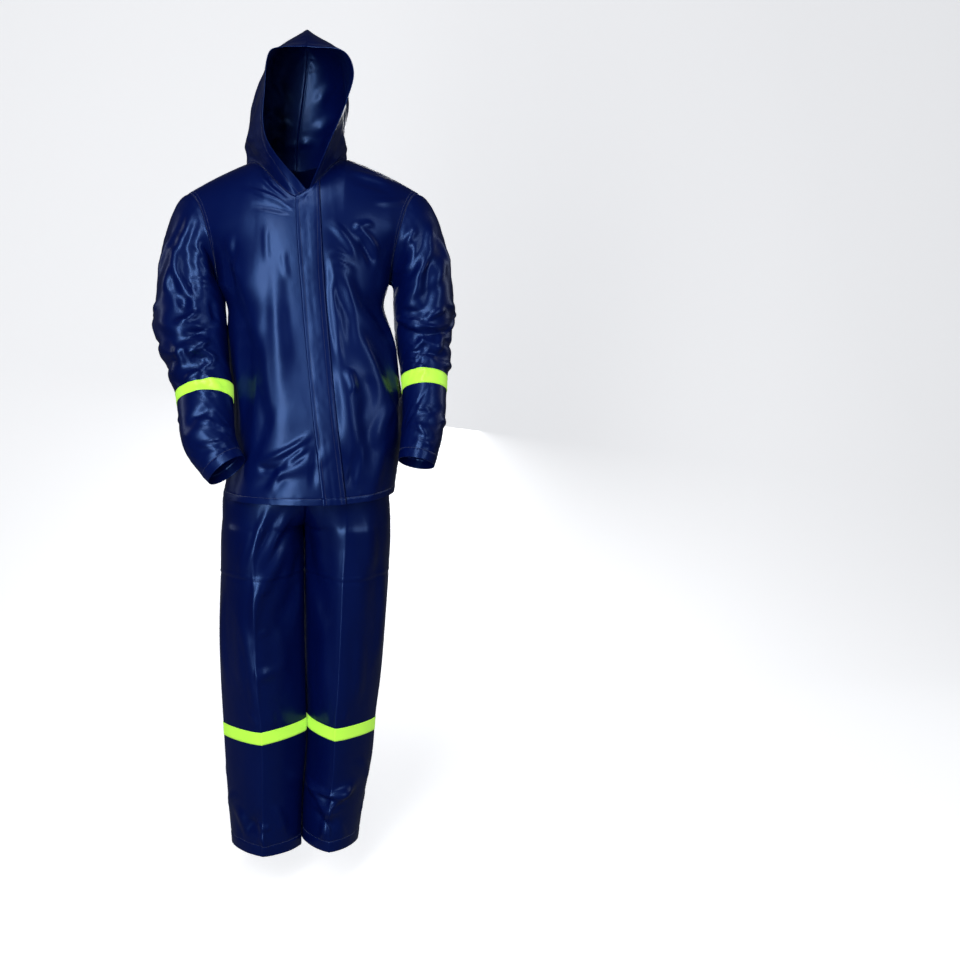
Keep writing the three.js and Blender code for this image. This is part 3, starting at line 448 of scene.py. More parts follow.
# Creases of the front, in millimetres from the middle and above the ground
FRONT_CREASES = table(
    "x z to_x to_z bow width height crest",
    (-14, 1476, -130, 1522, -5, 9, 4.0, 1.6),
    (-14, 1488, -95, 1552, 4, 8, 3.6, 1.4),
    (-18, 1470, -110, 1488, -3, 11, -3.2, 2.5),
    (-22, 1494, -80, 1538, 0, 6, -2.6, 1.6),
    (-30, 1516, -70, 1562, 2, 6, 2.6, 1.5),
    (86, 1556, 196, 1530, 3, 9, 3.2, 2.0),
    (96, 1538, 190, 1512, 4, 12, -2.6, 3.0),
    (140, 1496, 222, 1502, -5, 10, 2.8, 2.0),
    (98, 1450, 158, 1376, 8, 13, 5.0, 1.4),
    (96, 1436, 148, 1446, 5, 10, 4.0, 1.6),
    (46, 1458, 114, 1362, 10, 15, 4.6, 2.4),
    (112, 1424, 146, 1356, 3, 12, -5.0, 2.5),
    (48, 1394, 104, 1374, 3, 7, 2.2, 1.6),
    (54, 1376, 112, 1346, 3, 7, 2.4, 1.6),
    (56, 1376, 82, 1150, -7, 11, 3.6, 2.2),
    (70, 1368, 172, 1206, -14, 26, 6.5, 4.0),
    (64, 1350, 104, 1190, 2, 16, -5.0, 4.0),
    (116, 1310, 186, 1196, 10, 20, -4.0, 5.0),
    (84, 1160, 104, 1100, 5, 14, 4.6, 2.0),
    (86, 1170, 136, 900, -9, 26, 5.0, 4.0),
    (112, 1150, 128, 1050, 14, 22, -4.0, 6.0),
    (196, 1092, 146, 984, -9, 20, 4.6, 4.0),
    (-150, 1434, -128, 1330, -9, 14, 5.6, 1.8),
    (-143, 1420, -146, 1300, -5, 15, -5.5, 3.0),
    (-98, 1240, -88, 1050, -12, 30, -4.0, 8.0),
    (-76, 1452, -72, 1362, -2, 9, 1.4, 2.4),
    (-40, 1400, -30, 1330, -3, 9, 1.2, 2.4),
    (-58, 1400, -30, 1130, -5, 20, 2.2, 5.0),
    (22, 1026, -86, 964, 5, 10, 6.0, 1.6),
    (14, 1004, -50, 950, 2, 9, 5.0, 1.6),
    (-44, 956, -76, 900, 3, 12, 4.0, 2.4),
    (-98, 952, -46, 948, -3, 12, -6.0, 3.0),
    (10, 988, -74, 946, 4, 9, -4.0, 2.5),
    (30, 1010, 20, 900, -3, 10, -2.6, 3.0),
    (112, 1010, 92, 900, 3, 12, -2.8, 4.0),
)
# Broad folds of the front, where the cloth stands forward along a line and recedes on its left
FRONT_STEPS = table(
    "x z to_x to_z bow width height crest",
    (-138, 1420, -64, 1160, -6, 30, 9.0, 4.0),
    (-74, 1250, -48, 1020, -8, 28, 8.0, 4.0),
    (-46, 1090, -98, 940, 8, 24, 7.0, 3.0),
    (48, 1420, 84, 1180, 8, 18, 5.0, 3.0),
    (80, 1200, 96, 960, -6, 22, 5.0, 4.0),
)
# Creases of the back, with x measured towards the wearer's right
BACK_CREASES = table(
    "x z to_x to_z bow width height crest",
    (-150, 1440, -128, 930, -12, 24, 8.0, 3.0),
    (-122, 1390, -104, 960, 8, 20, -5.0, 6.0),
    (-196, 1420, -150, 1330, 9, 12, 5.0, 1.6),
    (-186, 1392, -120, 1330, 6, 10, -4.0, 2.4),
    (-60, 1260, -52, 900, 8, 24, 5.0, 5.0),
    (-20, 1180, -30, 900, -6, 20, -3.2, 6.0),
    (30, 1250, 48, 890, 8, 24, 5.0, 5.0),
    (150, 1450, 132, 930, 12, 24, 8.0, 3.0),
    (118, 1380, 100, 950, -8, 20, -5.0, 6.0),
    (196, 1410, 152, 1320, -8, 12, 5.0, 1.6),
    (92, 1180, 76, 900, 6, 18, 3.6, 4.0),
    (-94, 1520, -20, 1496, 7, 12, 3.4, 2.6),
    (88, 1520, 16, 1494, -7, 12, 3.0, 2.6),
    (-176, 1500, -100, 1474, 6, 12, 3.0, 3.0),
    (170, 1500, 96, 1470, -6, 12, 3.0, 3.0),
    (-120, 1060, -30, 980, 9, 16, 4.0, 2.6),
    (120, 1020, 40, 960, -8, 15, 3.6, 2.6),
)
SIDE_CREASES = table(
    "x z to_x to_z bow width height crest",
    (-60, 1290, -10, 1000, 9, 22, 5.0, 4.0),
    (20, 1270, 40, 960, -9, 22, -5.0, 5.0),
    (70, 1250, 60, 930, 8, 20, 5.0, 4.0),
    (-40, 1010, 60, 930, 8, 14, 4.0, 2.4),
)


def front_middle(z):
    """Where the fronts meet, which leans to the wearer's left towards the hem."""
    return THROAT_X + 55 * (np.maximum(0, THROAT - z) / 620) ** 1.35


def hem_height(turn):
    """The hem rises a little on the wearer's left and hangs lower at the back."""
    return HEM + 12 * np.maximum(0, np.sin(turn)) ** 2 - 24 * np.maximum(0, -np.cos(turn)) ** 1.5


def body_point(turn, z):
    section = section_at(BODY, "z", z)
    depth = np.where(np.cos(turn) > 0, section["front"], section["back"])
    x = section["half_width"] * power(np.sin(turn), BODY_POWER)
    y = -depth * power(np.cos(turn), BODY_POWER)
    grown = turned_folds(BODY_FOLDS, turn, z, section["half_width"]) * smooth((ARMPIT - z) / 60)
    far = 1 + grown / np.hypot(x, y)
    return np.stack([section["x"] + x * far, y * far, z + 0 * x], axis=-1)


def turn_at(x, middle, half_width):
    return np.arcsin(power(np.clip((x - middle) / half_width, -1, 1), 1 / BODY_POWER))


SEAM_Y = 5
ARMPIT_X = 181
ARMPIT_FRONT = 127
ARMPIT_BACK = 120
SHOULDER_X = 243
SHOULDER_TOP = 1583
NECK_X = -14
NECK_HALF_WIDTH = 106
ARMHOLE_TURN = math.radians(58)
ROOF_POWER = 0.87
WIDE_TOP = SHOULDER_X / math.sin(ARMHOLE_TURN) ** BODY_POWER


def shoulder_height(x):
    past = np.maximum(-8, np.abs(x) - 100)
    return SHOULDER_TOP - 0.36 * past - 0.0008 * past * past


def armhole_width(t):
    """Half the width between the armholes and the turn of their edge, from armpit to shoulder."""
    turn = QUARTER - (QUARTER - ARMHOLE_TURN) * smooth(t / 0.4)
    return ARMPIT_X + (SHOULDER_X - ARMPIT_X) * t**1.2, turn


def yoke_point(turn, t, top_x, back):
    """A point above the armpits. t is 0 there and 1 at the shoulder seam and the neckline."""
    share = np.minimum(1, np.abs(top_x - NECK_X) / NECK_HALF_WIDTH)
    neck_angle = math.radians(66 if back else 40)
    end = mix(neck_angle, QUARTER, share**1.6)
    half, edge = armhole_width(t)
    x = half / np.sin(edge) ** BODY_POWER * power(np.sin(turn), BODY_POWER)
    full = (ARMPIT_BACK if back else -ARMPIT_FRONT) * np.cos(turn) ** BODY_POWER
    y = SEAM_Y + (full - SEAM_Y) * np.cos(end * t) ** ROOF_POWER
    z = ARMPIT + (shoulder_height(top_x) - ARMPIT) * np.sin(end * t) ** ROOF_POWER
    return np.stack(np.broadcast_arrays(x, y, z), axis=-1)


def top_columns(side, start):
    """x at the top of each column, for columns counted 0 to 9 from the start to the shoulder."""
    neck = NECK_X + side * NECK_HALF_WIDTH
    return lambda c: np.interp(c, [0, 4, 9], [start, neck, side * SHOULDER_X])


def column_share(tops, c):
    turns = turn_at(tops(c), 0, WIDE_TOP)
    first, last = turn_at(tops(0), 0, WIDE_TOP), turn_at(tops(9), 0, WIDE_TOP)
    return (turns - first) / (last - first)


def body_rows():
    """Heights of the rows as shares of the way from hem to armpit, and from there to the top."""
    low = np.array([0, 1, 3, 6, 9, 11.5, 13, 14, 15, 16.5, 19, 22]) / (ARMPIT - HEM)
    body = np.concatenate([low, np.linspace(26 / (ARMPIT - HEM), 1, 101)])
    yoke = np.concatenate([np.linspace(0, 1, 78)[1:-1], [0.992, 0.997, 1]])
    return body, yoke


def front_columns(side, columns):
    """Columns -1 to 0 lie under the storm flap, and 0 to 9 go on from there to the side seam."""
    start = front_middle(THROAT) + side * FLAP_EDGE
    tops = top_columns(side, start)
    share = column_share(tops, np.maximum(columns, 0))
    near = np.clip(columns + 1, 0, 1)
    top_x = np.where(columns < 0, mix(front_middle(THROAT), start, near), tops(np.maximum(columns, 0)))
    return share, near, top_x


def front_yoke(side, columns, t):
    share, near, top_x = front_columns(side, columns)
    half, armhole = armhole_width(t)
    z = yoke_point(np.zeros_like(t), t, np.full_like(t, front_middle(THROAT)), False)[..., 2]
    edge = turn_at(front_middle(z) + side * CLOSED_EDGE, 0, half / np.sin(armhole) ** BODY_POWER)
    flap = turn_at(front_middle(z) + side * FLAP_EDGE, 0, half / np.sin(armhole) ** BODY_POWER)
    turn = np.where(columns < 0, mix(edge, flap, near), mix(flap, side * armhole, share))
    return yoke_point(turn, t, top_x + 0 * t, False)


def back_yoke(side, columns, t):
    tops = top_columns(side, NECK_X)
    middle = -turn_at(NECK_X, 0, WIDE_TOP)
    half, armhole = armhole_width(t)
    turn = -middle + column_share(tops, columns) * (side * armhole + middle)
    return yoke_point(turn, t, tops(columns) + 0 * t, True)


def front_grid(side):
    columns = np.concatenate([np.linspace(0, 1, 8)[:-1] - 1, np.linspace(0, 9, 64)[:-1], [8.96, 8.99, 9]])
    share, near, top_x = front_columns(side, columns)
    body, yoke = body_rows()
    t = body[:, None]
    z = mix(HEM, ARMPIT, t)
    section = section_at(BODY, "z", z)
    edge = turn_at(front_middle(z) + side * CLOSED_EDGE, section["x"], section["half_width"])
    flap = turn_at(front_middle(z) + side * FLAP_EDGE, section["x"], section["half_width"])
    turn = np.where(columns < 0, mix(edge, flap, near), mix(flap, side * QUARTER, share))
    low = body_point(turn, mix(hem_height(turn), ARMPIT, t))
    return np.concatenate([low, front_yoke(side, columns, yoke[:, None])])


def back_grid():
    columns = np.concatenate([np.linspace(0, 9, 68)[:-1], [8.96, 8.99, 9]])
    body, yoke = body_rows()
    middle = -turn_at(NECK_X, 0, WIDE_TOP)
    halves = []
    for side in (1, -1):
        tops = top_columns(side, NECK_X)
        share = column_share(tops, columns)
        t = body[:, None]
        turn = math.pi + middle - share * (side * QUARTER + middle) + 0 * t
        low = body_point(turn, mix(hem_height(turn), ARMPIT, t))
        halves.append(np.concatenate([low, back_yoke(side, columns, yoke[:, None])]))
    return np.concatenate([halves[0][:, ::-1], halves[1][:, 1:]], axis=1)


def distance_to_edges(points, edges):
    """How far each point of a grid is, over the cloth, from its nearest sewn edge."""
    near = np.full(points.shape[:2], 1e3)
    if "start" in edges:
        near = np.minimum(near, arc_lengths(points, 1))
    if "end" in edges:
        near = np.minimum(near, arc_lengths(points[:, ::-1], 1)[:, ::-1])
    if "bottom" in edges:
        near = np.minimum(near, arc_lengths(points, 0))
    if "top" in edges:
        near = np.minimum(near, arc_lengths(points[::-1], 0)[::-1])
    return near


def seam_relief(points, edges, seed):
    """A seam is raised by the layers under it, up to its stitches. The cloth beside it puckers."""
    far = distance_to_edges(points, edges)
    u, v = arc_lengths(points, 1), arc_lengths(points, 0)
    pucker = Ripple(seed)(u / 13 + v / 13, v / 13 - u / 21)
    layers = 0.5 * smooth(far / 1.6) * (1 - smooth((far - 8) / 2.5))
    return layers + 0.9 * pucker * bell(far - 10, 9) * smooth(far / 5)


def hem_relief(points, deep, seed):
    """A hem is two layers thick up to its stitch line, which draws the cloth in a little."""
    u, v = arc_lengths(points, 1), arc_lengths(points, 0)
    past = v - deep
    pucker = Ripple(seed)(u / 12, v / 18) * bell(past, 9)
    return 0.5 * (1 - smooth((past + 1) / 1.5)) - 0.7 * bell(past, 1.2) + 0.9 * pucker


def worn_wrinkles(points, seed, broad, fine, lean=90):
    """Soft uneven hang of the cloth, with broad waves and smaller wrinkles of the given heights."""
    u, v = arc_lengths(points, 1), arc_lengths(points, 0)
    waves = wrinkles(u, v, seed, 70, 3.0, lean, 0.0)
    small = wrinkles(u, v, seed + 1, 20, 3.0, lean + 14, 0.4)
    return broad * waves + fine * small


def pushed(points, normals, height):
    return points + normals * height[..., None]


def body_panel(points, turned, view, folds, seams, seed):
    normals = cloth_normals(points, turned)
    height = creases(points, normals, view, folds)
    if view == "front":
        height = height + creases(points, normals, view, FRONT_STEPS, far_side=2.6)
    for other in ("left", "right"):
        height = height + creases(points, normals, other, SIDE_CREASES)
    hem = arc_lengths(points, 0)
    calm = smooth(hem / 60) * 0.7 + 0.3
    height = height * smooth(distance_to_edges(points, seams) / 12) * calm
    height = height + worn_wrinkles(points, seed, 0.8, 0.08) * smooth(distance_to_edges(points, seams) / 20)
    height = height + seam_relief(points, seams, seed + 2) + hem_relief(points, BODY_HEM_DEPTH, seed + 3)
    points = pushed(points, normals, height)
    return points, cloth_normals(points, turned)


front = {
    side: body_panel(front_grid(side), side, "front", FRONT_CREASES, ("end", "top"), 11 + side)
    for side in (-1, 1)
}
back = body_panel(back_grid(), 1, "back", BACK_CREASES, ("start", "end", "top"), 31)
for side, word, size in ((-1, "right", (0.34, 0.76)), (1, "left", (0.31, 0.76))):
    panel = cloth_piece(f"front_{word}", front[side][0], coated_navy, turned=side)
    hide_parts(f"jacket_front_{word}")
back_panel = cloth_piece("back", back[0], coated_navy)
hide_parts("jacket_back")


# Sleeves. Each is a tube set into the armhole, with a round cap that eases into it. The cloth
# bunches in deep slanting folds above and round the elbow, and the cuff is turned up and sewn.
ARM = {
    -1: table(
        "along x y z half_width half_depth",
        (0, -239.5, -2, 1290, 73.5, 76),
        (60, -238, -18, 1230, 77, 76),
        (135, -224, -38, 1163, 69, 72),
        (190, -209, -60, 1110, 61, 63),
        (240, -204, -84, 1066, 58, 60),
        (300, -196, -114, 1012, 56, 56),
        (345, -178, -133, 976, 50, 52),
        (385, -157, -147, 948, 45, 50),
    ),
    1: table(
        "along x y z half_width half_depth",
        (0, 255, 5, 1290, 64, 76),
        (60, 256, 6, 1230, 61, 74),
        (115, 258, -8, 1176, 56, 68),
        (170, 256, -32, 1124, 48, 60),
        (235, 254, -58, 1062, 45, 56),
        (300, 246, -82, 1003, 42, 53),
        (350, 236, -98, 957, 38, 52),
    ),
}
SLEEVE_FOLDS = {
    -1: table(
        "turn level lean length width height",
        (120, -50, 68, 170, 17, 8),
        (90, 10, 60, 120, 15, -8),
        (120, 62, -32, 130, 13, 8),
        (75, 84, 14, 110, 11, -9),
        (100, 118, 8, 130, 11, 8),
        (175, 128, -6, 150, 13, -12),
        (95, 160, -14, 110, 13, -8),
        (300, 90, 20, 150, 15, -10),
        (250, 60, -24, 130, 14, 8),
        (100, 272, 24, 100, 11, -6),
        (120, 302, -10, 110, 11, 5),
    ),
    1: table(
        "turn level lean length width height",
        (70, -40, 116, 160, 16, 8),
        (95, -5, 128, 150, 14, -7),
        (85, 55, 18, 120, 12, 8),
        (120, 78, -16, 130, 12, -9),
        (80, 108, 10, 110, 11, 7),
        (110, 136, -10, 110, 11, -7),
        (250, 30, 28, 150, 15, 10),
        (235, 84, -12, 150, 13, -10),
        (260, 116, 16, 130, 13, 9),
        (100, 250, -18, 90, 10, -5),
        (80, 286, 16, 90, 10, 5),
    ),
}
SLEEVE_CREASES = {
    -1: table(
        "x z to_x to_z bow width height crest",
        (-232, 1476, -268, 1396, 7, 14, 5.0, 2.4),
        (-252, 1430, -190, 1334, 5, 10, 4.5, 1.6),
        (-226, 1416, -178, 1336, 3, 9, 4.0, 1.6),
        (-240, 1414, -200, 1350, 3, 9, -3.5, 2.5),
        (-290, 1420, -262, 1340, 8, 14, 4.0, 3.0),
        (-276, 1380, -214, 1278, -6, 12, 6.0, 1.4),
        (-282, 1350, -230, 1262, -4, 14, -5.0, 3.0),
        (-212, 1276, -270, 1244, 5, 11, 6.0, 1.4),
        (-272, 1252, -188, 1224, 5, 12, 5.5, 1.6),
        (-250, 1330, -186, 1330, 4, 9, 4.0, 1.6),
        (-196, 1302, -182, 1240, 3, 9, -4.0, 2.4),
        (-190, 1222, -252, 1180, 6, 12, 5.5, 1.4),
        (-246, 1186, -212, 1200, 3, 9, 4.5, 1.4),
        (-222, 1198, -176, 1168, 3, 9, 5.0, 1.4),
        (-178, 1172, -216, 1152, 2, 9, 4.5, 1.4),
        (-236, 1176, -196, 1172, 0, 9, -5.0, 3.0),
        (-248, 1130, -204, 1148, 3, 9, 4.5, 1.4),
        (-210, 1148, -166, 1102, 3, 9, 4.5, 1.4),
        (-170, 1106, -242, 1118, 3, 9, 4.5, 1.4),
        (-222, 1132, -190, 1124, 0, 9, -4.5, 3.0),
        (-276, 1216, -250, 1150, 6, 12, 4.5, 2.0),
        (-232, 1050, -176, 1044, 4, 9, 3.6, 1.4),
        (-184, 1044, -136, 1020, 3, 9, 3.6, 1.4),
        (-226, 1008, -136, 1018, -9, 10, 4.0, 1.6),
        (-206, 980, -150, 990, 4, 9, 2.6, 1.6),
    ),
    1: table(
        "x z to_x to_z bow width height crest",
        (270, 1458, 228, 1364, 7, 11, 5.0, 1.6),
        (232, 1372, 180, 1350, 4, 10, 4.5, 1.6),
        (276, 1436, 216, 1312, 7, 11, 5.0, 1.6),
        (254, 1420, 206, 1330, 5, 10, -4.0, 2.6),
        (238, 1448, 202, 1404, 3, 9, 3.5, 1.6),
        (302, 1420, 262, 1310, 9, 14, 4.0, 3.0),
        (170, 1258, 258, 1250, -3, 10, 6.0, 1.4),
        (250, 1250, 302, 1277, 4, 10, 5.5, 1.4),
        (200, 1274, 250, 1268, -2, 10, -4.5, 2.6),
        (206, 1243, 256, 1227, 3, 9, 4.5, 1.4),
        (256, 1226, 214, 1182, 5, 10, 5.0, 1.4),
        (210, 1177, 284, 1170, 3, 10, 5.5, 1.4),
        (226, 1214, 262, 1194, 0, 10, -4.5, 3.0),
        (212, 1157, 260, 1152, 4, 9, 4.5, 1.4),
        (260, 1154, 238, 1128, 2, 9, 4.0, 1.4),
        (290, 1230, 270, 1180, 5, 12, 4.0, 2.0),
        (226, 1076, 268, 1062, 4, 9, 3.6, 1.4),
        (228, 1044, 256, 1010, 4, 9, 3.6, 1.4),
        (222, 1006, 270, 996, 4, 9, 3.0, 1.4),
    ),
}
# Folds of the sleeves as seen from the back, with x measured towards the wearer's right
SLEEVE_BACK_CREASES = {
    -1: table(
        "x z to_x to_z bow width height crest",
        (226, 1480, 268, 1370, 9, 14, 5.0, 2.0),
        (206, 1430, 258, 1340, 7, 11, 4.5, 1.6),
        (190, 1330, 280, 1290, 6, 12, 5.5, 1.6),
        (276, 1262, 196, 1230, 5, 12, 5.5, 1.6),
        (190, 1250, 262, 1200, 6, 12, -5.0, 2.6),
        (196, 1200, 284, 1170, -5, 11, 5.5, 1.6),
        (268, 1158, 196, 1124, 5, 10, 5.0, 1.6),
        (180, 1050, 240, 1022, 5, 10, 3.6, 1.6),
    ),
    1: table(
        "x z to_x to_z bow width height crest",
        (-226, 1470, -272, 1370, -9, 14, 5.0, 2.0),
        (-204, 1420, -262, 1330, -7, 11, 4.5, 1.6),
        (-186, 1338, -284, 1280, -6, 12, 6.0, 1.4),
        (-290, 1258, -208, 1224, 5, 12, 5.5, 1.6),
        (-200, 1250, -276, 1200, -6, 12, -5.0, 2.6),
        (-212, 1196, -296, 1172, 5, 11, 5.5, 1.6),
        (-286, 1150, -218, 1120, 5, 10, 5.0, 1.6),
        (-214, 1060, -276, 1030, -5, 10, 3.6, 1.6),
    ),
}
SLEEVE_SIDE_CREASES = table(
    "x z to_x to_z bow width height crest",
    (-46, 1440, -20, 1330, 9, 16, 4.5, 2.4),
    (30, 1450, 44, 1340, -9, 16, 4.5, 2.4),
    (-56, 1290, 40, 1240, 8, 13, 5.0, 1.8),
    (52, 1280, -40, 1216, -8, 12, 5.0, 1.6),
    (-70, 1210, 20, 1180, 6, 11, -5.0, 2.4),
    (-76, 1160, 14, 1140, 6, 11, 5.0, 1.6),
    (-110, 1050, -40, 1020, 5, 10, 3.6, 1.6),
)
SLEEVE_TAPE = {-1: 198, 1: 168}
TAPE_WIDTH = 28
CUFF_DEPTH = 20


def unit(ways):
    return ways / np.linalg.norm(ways, axis=-1, keepdims=True)


def arm_frame(side, along):
    here, before, after = (section_at(ARM[side], "along", along + shift) for shift in (0, -8, 8))
    down = unit(np.stack([after[k] - before[k] for k in "xyz"], axis=-1))
    out = np.array([side, 0, 0]) - down * (side * down[..., :1])
    out = unit(out)
    return here, down, out, np.cross(down, out) * side


def arm_point(side, angle, along):
    here, down, out, front_way = arm_frame(side, along)
    middle = np.stack([here[k] for k in "xyz"], axis=-1)
    away = -out * (here["half_width"] * np.cos(angle))[..., None]
    away = away + front_way * (here["half_depth"] * np.sin(angle))[..., None]
    grown = turned_folds(SLEEVE_FOLDS[side], angle, along, here["half_width"])
    return middle + away * (1 + grown / np.linalg.norm(away, axis=-1))[..., None]


def armhole_point(side, angle):
    """The armhole, from the armpit up the front, over the shoulder and down the back."""
    t = 1 - np.abs(1 - angle / math.pi)
    half, turn = armhole_width(t)
    top = np.full_like(t, side * SHOULDER_X)
    ahead = yoke_point(side * turn, t, top, False)
    behind = yoke_point(side * turn, t, top, True)
    return np.where((angle <= math.pi)[:, None], ahead, behind)


def sleeve_cap(side, angle, shares):
    start, end = armhole_point(side, angle), arm_point(side, angle, 0 * angle)
    down = arm_frame(side, np.zeros(1))[1]
    reach = np.linalg.norm(end - start, axis=1)
    top = (1 - np.cos(angle)) / 2
    bulge = (reach * mix(1, 0.62, top))[:, None]
    away = np.stack([side + 0 * top, 0 * top, mix(-0.1, -0.42, top)], axis=1) * bulge
    second = start + away / 3
    third = end - down * (reach * mix(1, 0.7, top) / 3)[:, None]
    t = shares[:, None, None]
    curve = (1 - t) ** 3 * start + 3 * (1 - t) ** 2 * t * second + 3 * (1 - t) * t**2 * third + t**3 * end
    t = shares[:, None]
    height = turned_folds(SLEEVE_FOLDS[side], angle + 0 * t, (t - 1) * reach, 75)
    height = height * smooth((1 - t) * 6) * smooth(t * 2)
    way = np.stack([side * top, -np.sin(angle), 0 * top], axis=1)
    return curve + way * height[..., None]


def sleeve_levels(side):
    """Distances of the rows down the arm, with rows at the tape's edges and closer ones at the cuff."""
    end, tape = ARM[side][-1]["along"], SLEEVE_TAPE[side]
    above = np.linspace(0, tape, round(tape / 3.6) + 1)[1:]
    band = np.linspace(tape, tape + TAPE_WIDTH, 9)[1:]
    below = np.linspace(tape + TAPE_WIDTH, end - 26, round((end - tape - TAPE_WIDTH) / 3.6))[1:]
    cuff = end - np.array([23.5, 22, 20.5, 19.5, 18.5, 16, 12, 8, 4, 1.5, 0])
    return np.concatenate([above, band, below, cuff])


def sleeve(side, word):
    angle = np.linspace(0, 2 * math.pi, 121)[:-1]
    shares = np.concatenate([[0, 0.01, 0.025], np.linspace(0.05, 1, 30)])
    levels = sleeve_levels(side)
    arm = arm_point(side, angle + 0 * levels[:, None], levels[:, None])
    points = np.concatenate([sleeve_cap(side, angle, shares), arm])
    normals = cloth_normals(points, -side, closed=True)
    start = arc_lengths(points, 0)
    end = arc_lengths(points[::-1], 0)[::-1]
    calm = smooth(start / 22) * smooth(end / 40)
    height = creases(points, normals, "front", SLEEVE_CREASES[side])
    height = height + creases(points, normals, "back", SLEEVE_BACK_CREASES[side])
    outside = "right" if side < 0 else "left"
    folds = SLEEVE_SIDE_CREASES
    if side < 0:
        folds = [dict(fold, x=-fold["x"], to_x=-fold["to_x"], bow=-fold["bow"]) for fold in folds]
    height = height + creases(points, normals, outside, folds)
    turn = np.minimum(angle, 2 * math.pi - angle) * 58
    noise = wrinkles(turn + 0 * start, start, 51 + side, 46, 2.5, 24, 0.75) * 2.4
    noise = noise + wrinkles(turn + 0 * start, start, 61 + side, 22, 2.5, -20, 0.7) * 0.3
    height = (height + noise) * calm
    pucker = Ripple(71 + side)(turn / 12, start / 14) * bell(start, 20) * smooth(start / 6)
    height = height - 0.5 * bell(start - 3, 1.5) + 1.4 * pucker
    past = end - CUFF_DEPTH
    hem = Ripple(81 + side)(turn / 11, end / 16) * bell(past, 9)
    height = height + 0.5 * (1 - smooth((past + 1) / 1.5)) - 0.7 * bell(past, 1.2) + hem
    underarm = np.minimum(angle, 2 * math.pi - angle) * 60
    height = height - 0.8 * bell(underarm, 2.4) * smooth(start / 10)
    points = pushed(points, normals, height)
    normals = cloth_normals(points, -side, closed=True)
    piece = cloth_piece(f"sleeve_shell_{word}", points, coated_navy, closed=True, turned=-side)
    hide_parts(f"sleeve_{word}")
    tape_rows = len(shares) + np.searchsorted(levels, [SLEEVE_TAPE[side], SLEEVE_TAPE[side] + TAPE_WIDTH])
    return points, normals, tape_rows


sleeves = {-1: sleeve(-1, "right"), 1: sleeve(1, "left")}


# Hood. Two halves are sewn together over the top of the head and down the back, and to the
# neckline. The edge of the face opening is turned in and sewn.
HOOD = {
    -1: table(
        "edge_x edge_y edge_z wide wide_y wide_z back_y back_z",
        (62, -145, 1618, 106, -5, 1630, 84, 1632),
        (74, -158, 1712, 93, -5, 1710, 97, 1705),
        (72, -155, 1780, 75, 0, 1779, 88, 1769),
        (50, -151, 1788, 54, 5, 1812, 76, 1800),
        (0, -149, 1789, 0, 5, 1847, 60, 1826),
    ),
    1: table(
        "edge_x edge_y edge_z wide wide_y wide_z back_y back_z",
        (66, -142, 1608, 99, -5, 1630, 84, 1632),
        (91, -158, 1682, 91, -5, 1705, 97, 1705),
        (97, -166, 1739, 72, 0, 1774, 88, 1769),
        (74, -158, 1778, 48, 5, 1811, 76, 1800),
        (0, -149, 1789, 0, 5, 1847, 60, 1826),
    ),
}
HOOD_LEAN = 22
HOOD_EDGE_DEPTH = 18
EAR = 5 / 9
HOOD_CREASES = {
    "front": table(
        "x z to_x to_z bow width height crest",
        (-112, 1640, -84, 1720, -6, 12, 3.6, 2.0),
        (-98, 1616, -70, 1690, -5, 11, -3.0, 2.6),
        (-120, 1600, -50, 1580, 5, 11, 3.0, 2.0),
        (92, 1616, 66, 1560, -5, 12, 3.6, 2.0),
        (84, 1640, 96, 1700, 6, 12, 3.0, 2.4),
    ),
    "back": table(
        "x z to_x to_z bow width height crest",
        (-96, 1690, -20, 1640, 8, 18, 5.0, 3.0),
        (-78, 1760, -30, 1700, 8, 18, 4.5, 3.0),
        (-70, 1650, -50, 1600, 6, 13, -4.0, 3.0),
        (92, 1700, 30, 1650, -8, 18, 5.0, 3.0),
        (70, 1770, 34, 1700, -8, 16, 4.0, 3.0),
        (60, 1640, 40, 1596, 6, 13, -4.0, 3.0),
        (-30, 1626, 40, 1618, 5, 13, 3.6, 2.4),
    ),
    "left": table(
        "x z to_x to_z bow width height crest",
        (-120, 1740, 40, 1640, 14, 22, 6.0, 4.0),
        (-110, 1680, 10, 1610, 9, 18, -5.0, 4.0),
        (-60, 1790, 60, 1720, 9, 18, 4.5, 3.0),
        (-80, 1620, 30, 1598, 6, 13, 4.0, 2.4),
    ),
    "right": table(
        "x z to_x to_z bow width height crest",
        (120, 1746, -30, 1650, -14, 22, 6.0, 4.0),
        (110, 1690, -6, 1616, -9, 18, -5.0, 4.0),
        (66, 1790, -56, 1726, -9, 18, 4.5, 3.0),
        (86, 1624, -24, 1600, -6, 13, 4.0, 2.4),
    ),
}


def hood_row(side, row, share):
    """A line round one half of the head, from the face opening, 0, to the seam at the back, 1."""
    t = np.clip(share / EAR, 0, 1)
    x, y = mix(row["edge_x"], row["wide"], np.sin(t * QUARTER)), mix(row["edge_y"], row["wide_y"], t)
    z = mix(row["edge_z"], row["wide_z"], np.sin(t * QUARTER))
    t = np.clip((share - EAR) / (1 - EAR), 0, 1)
    round_back = 2 / 2.2
    behind = share > EAR
    x = np.where(behind, row["wide"] * np.maximum(0, np.cos(t * QUARTER)) ** round_back, x)
    y = np.where(behind, mix(row["wide_y"], row["back_y"], np.sin(t * QUARTER) ** round_back), y)
    z = np.where(behind, mix(row["wide_z"], row["back_z"], t), z)
    x = np.where(share >= 1, 0, x)
    return np.stack([NECK_X + HOOD_LEAN * smooth((z - 1590) / 230) + side * x, y, z], axis=-1)


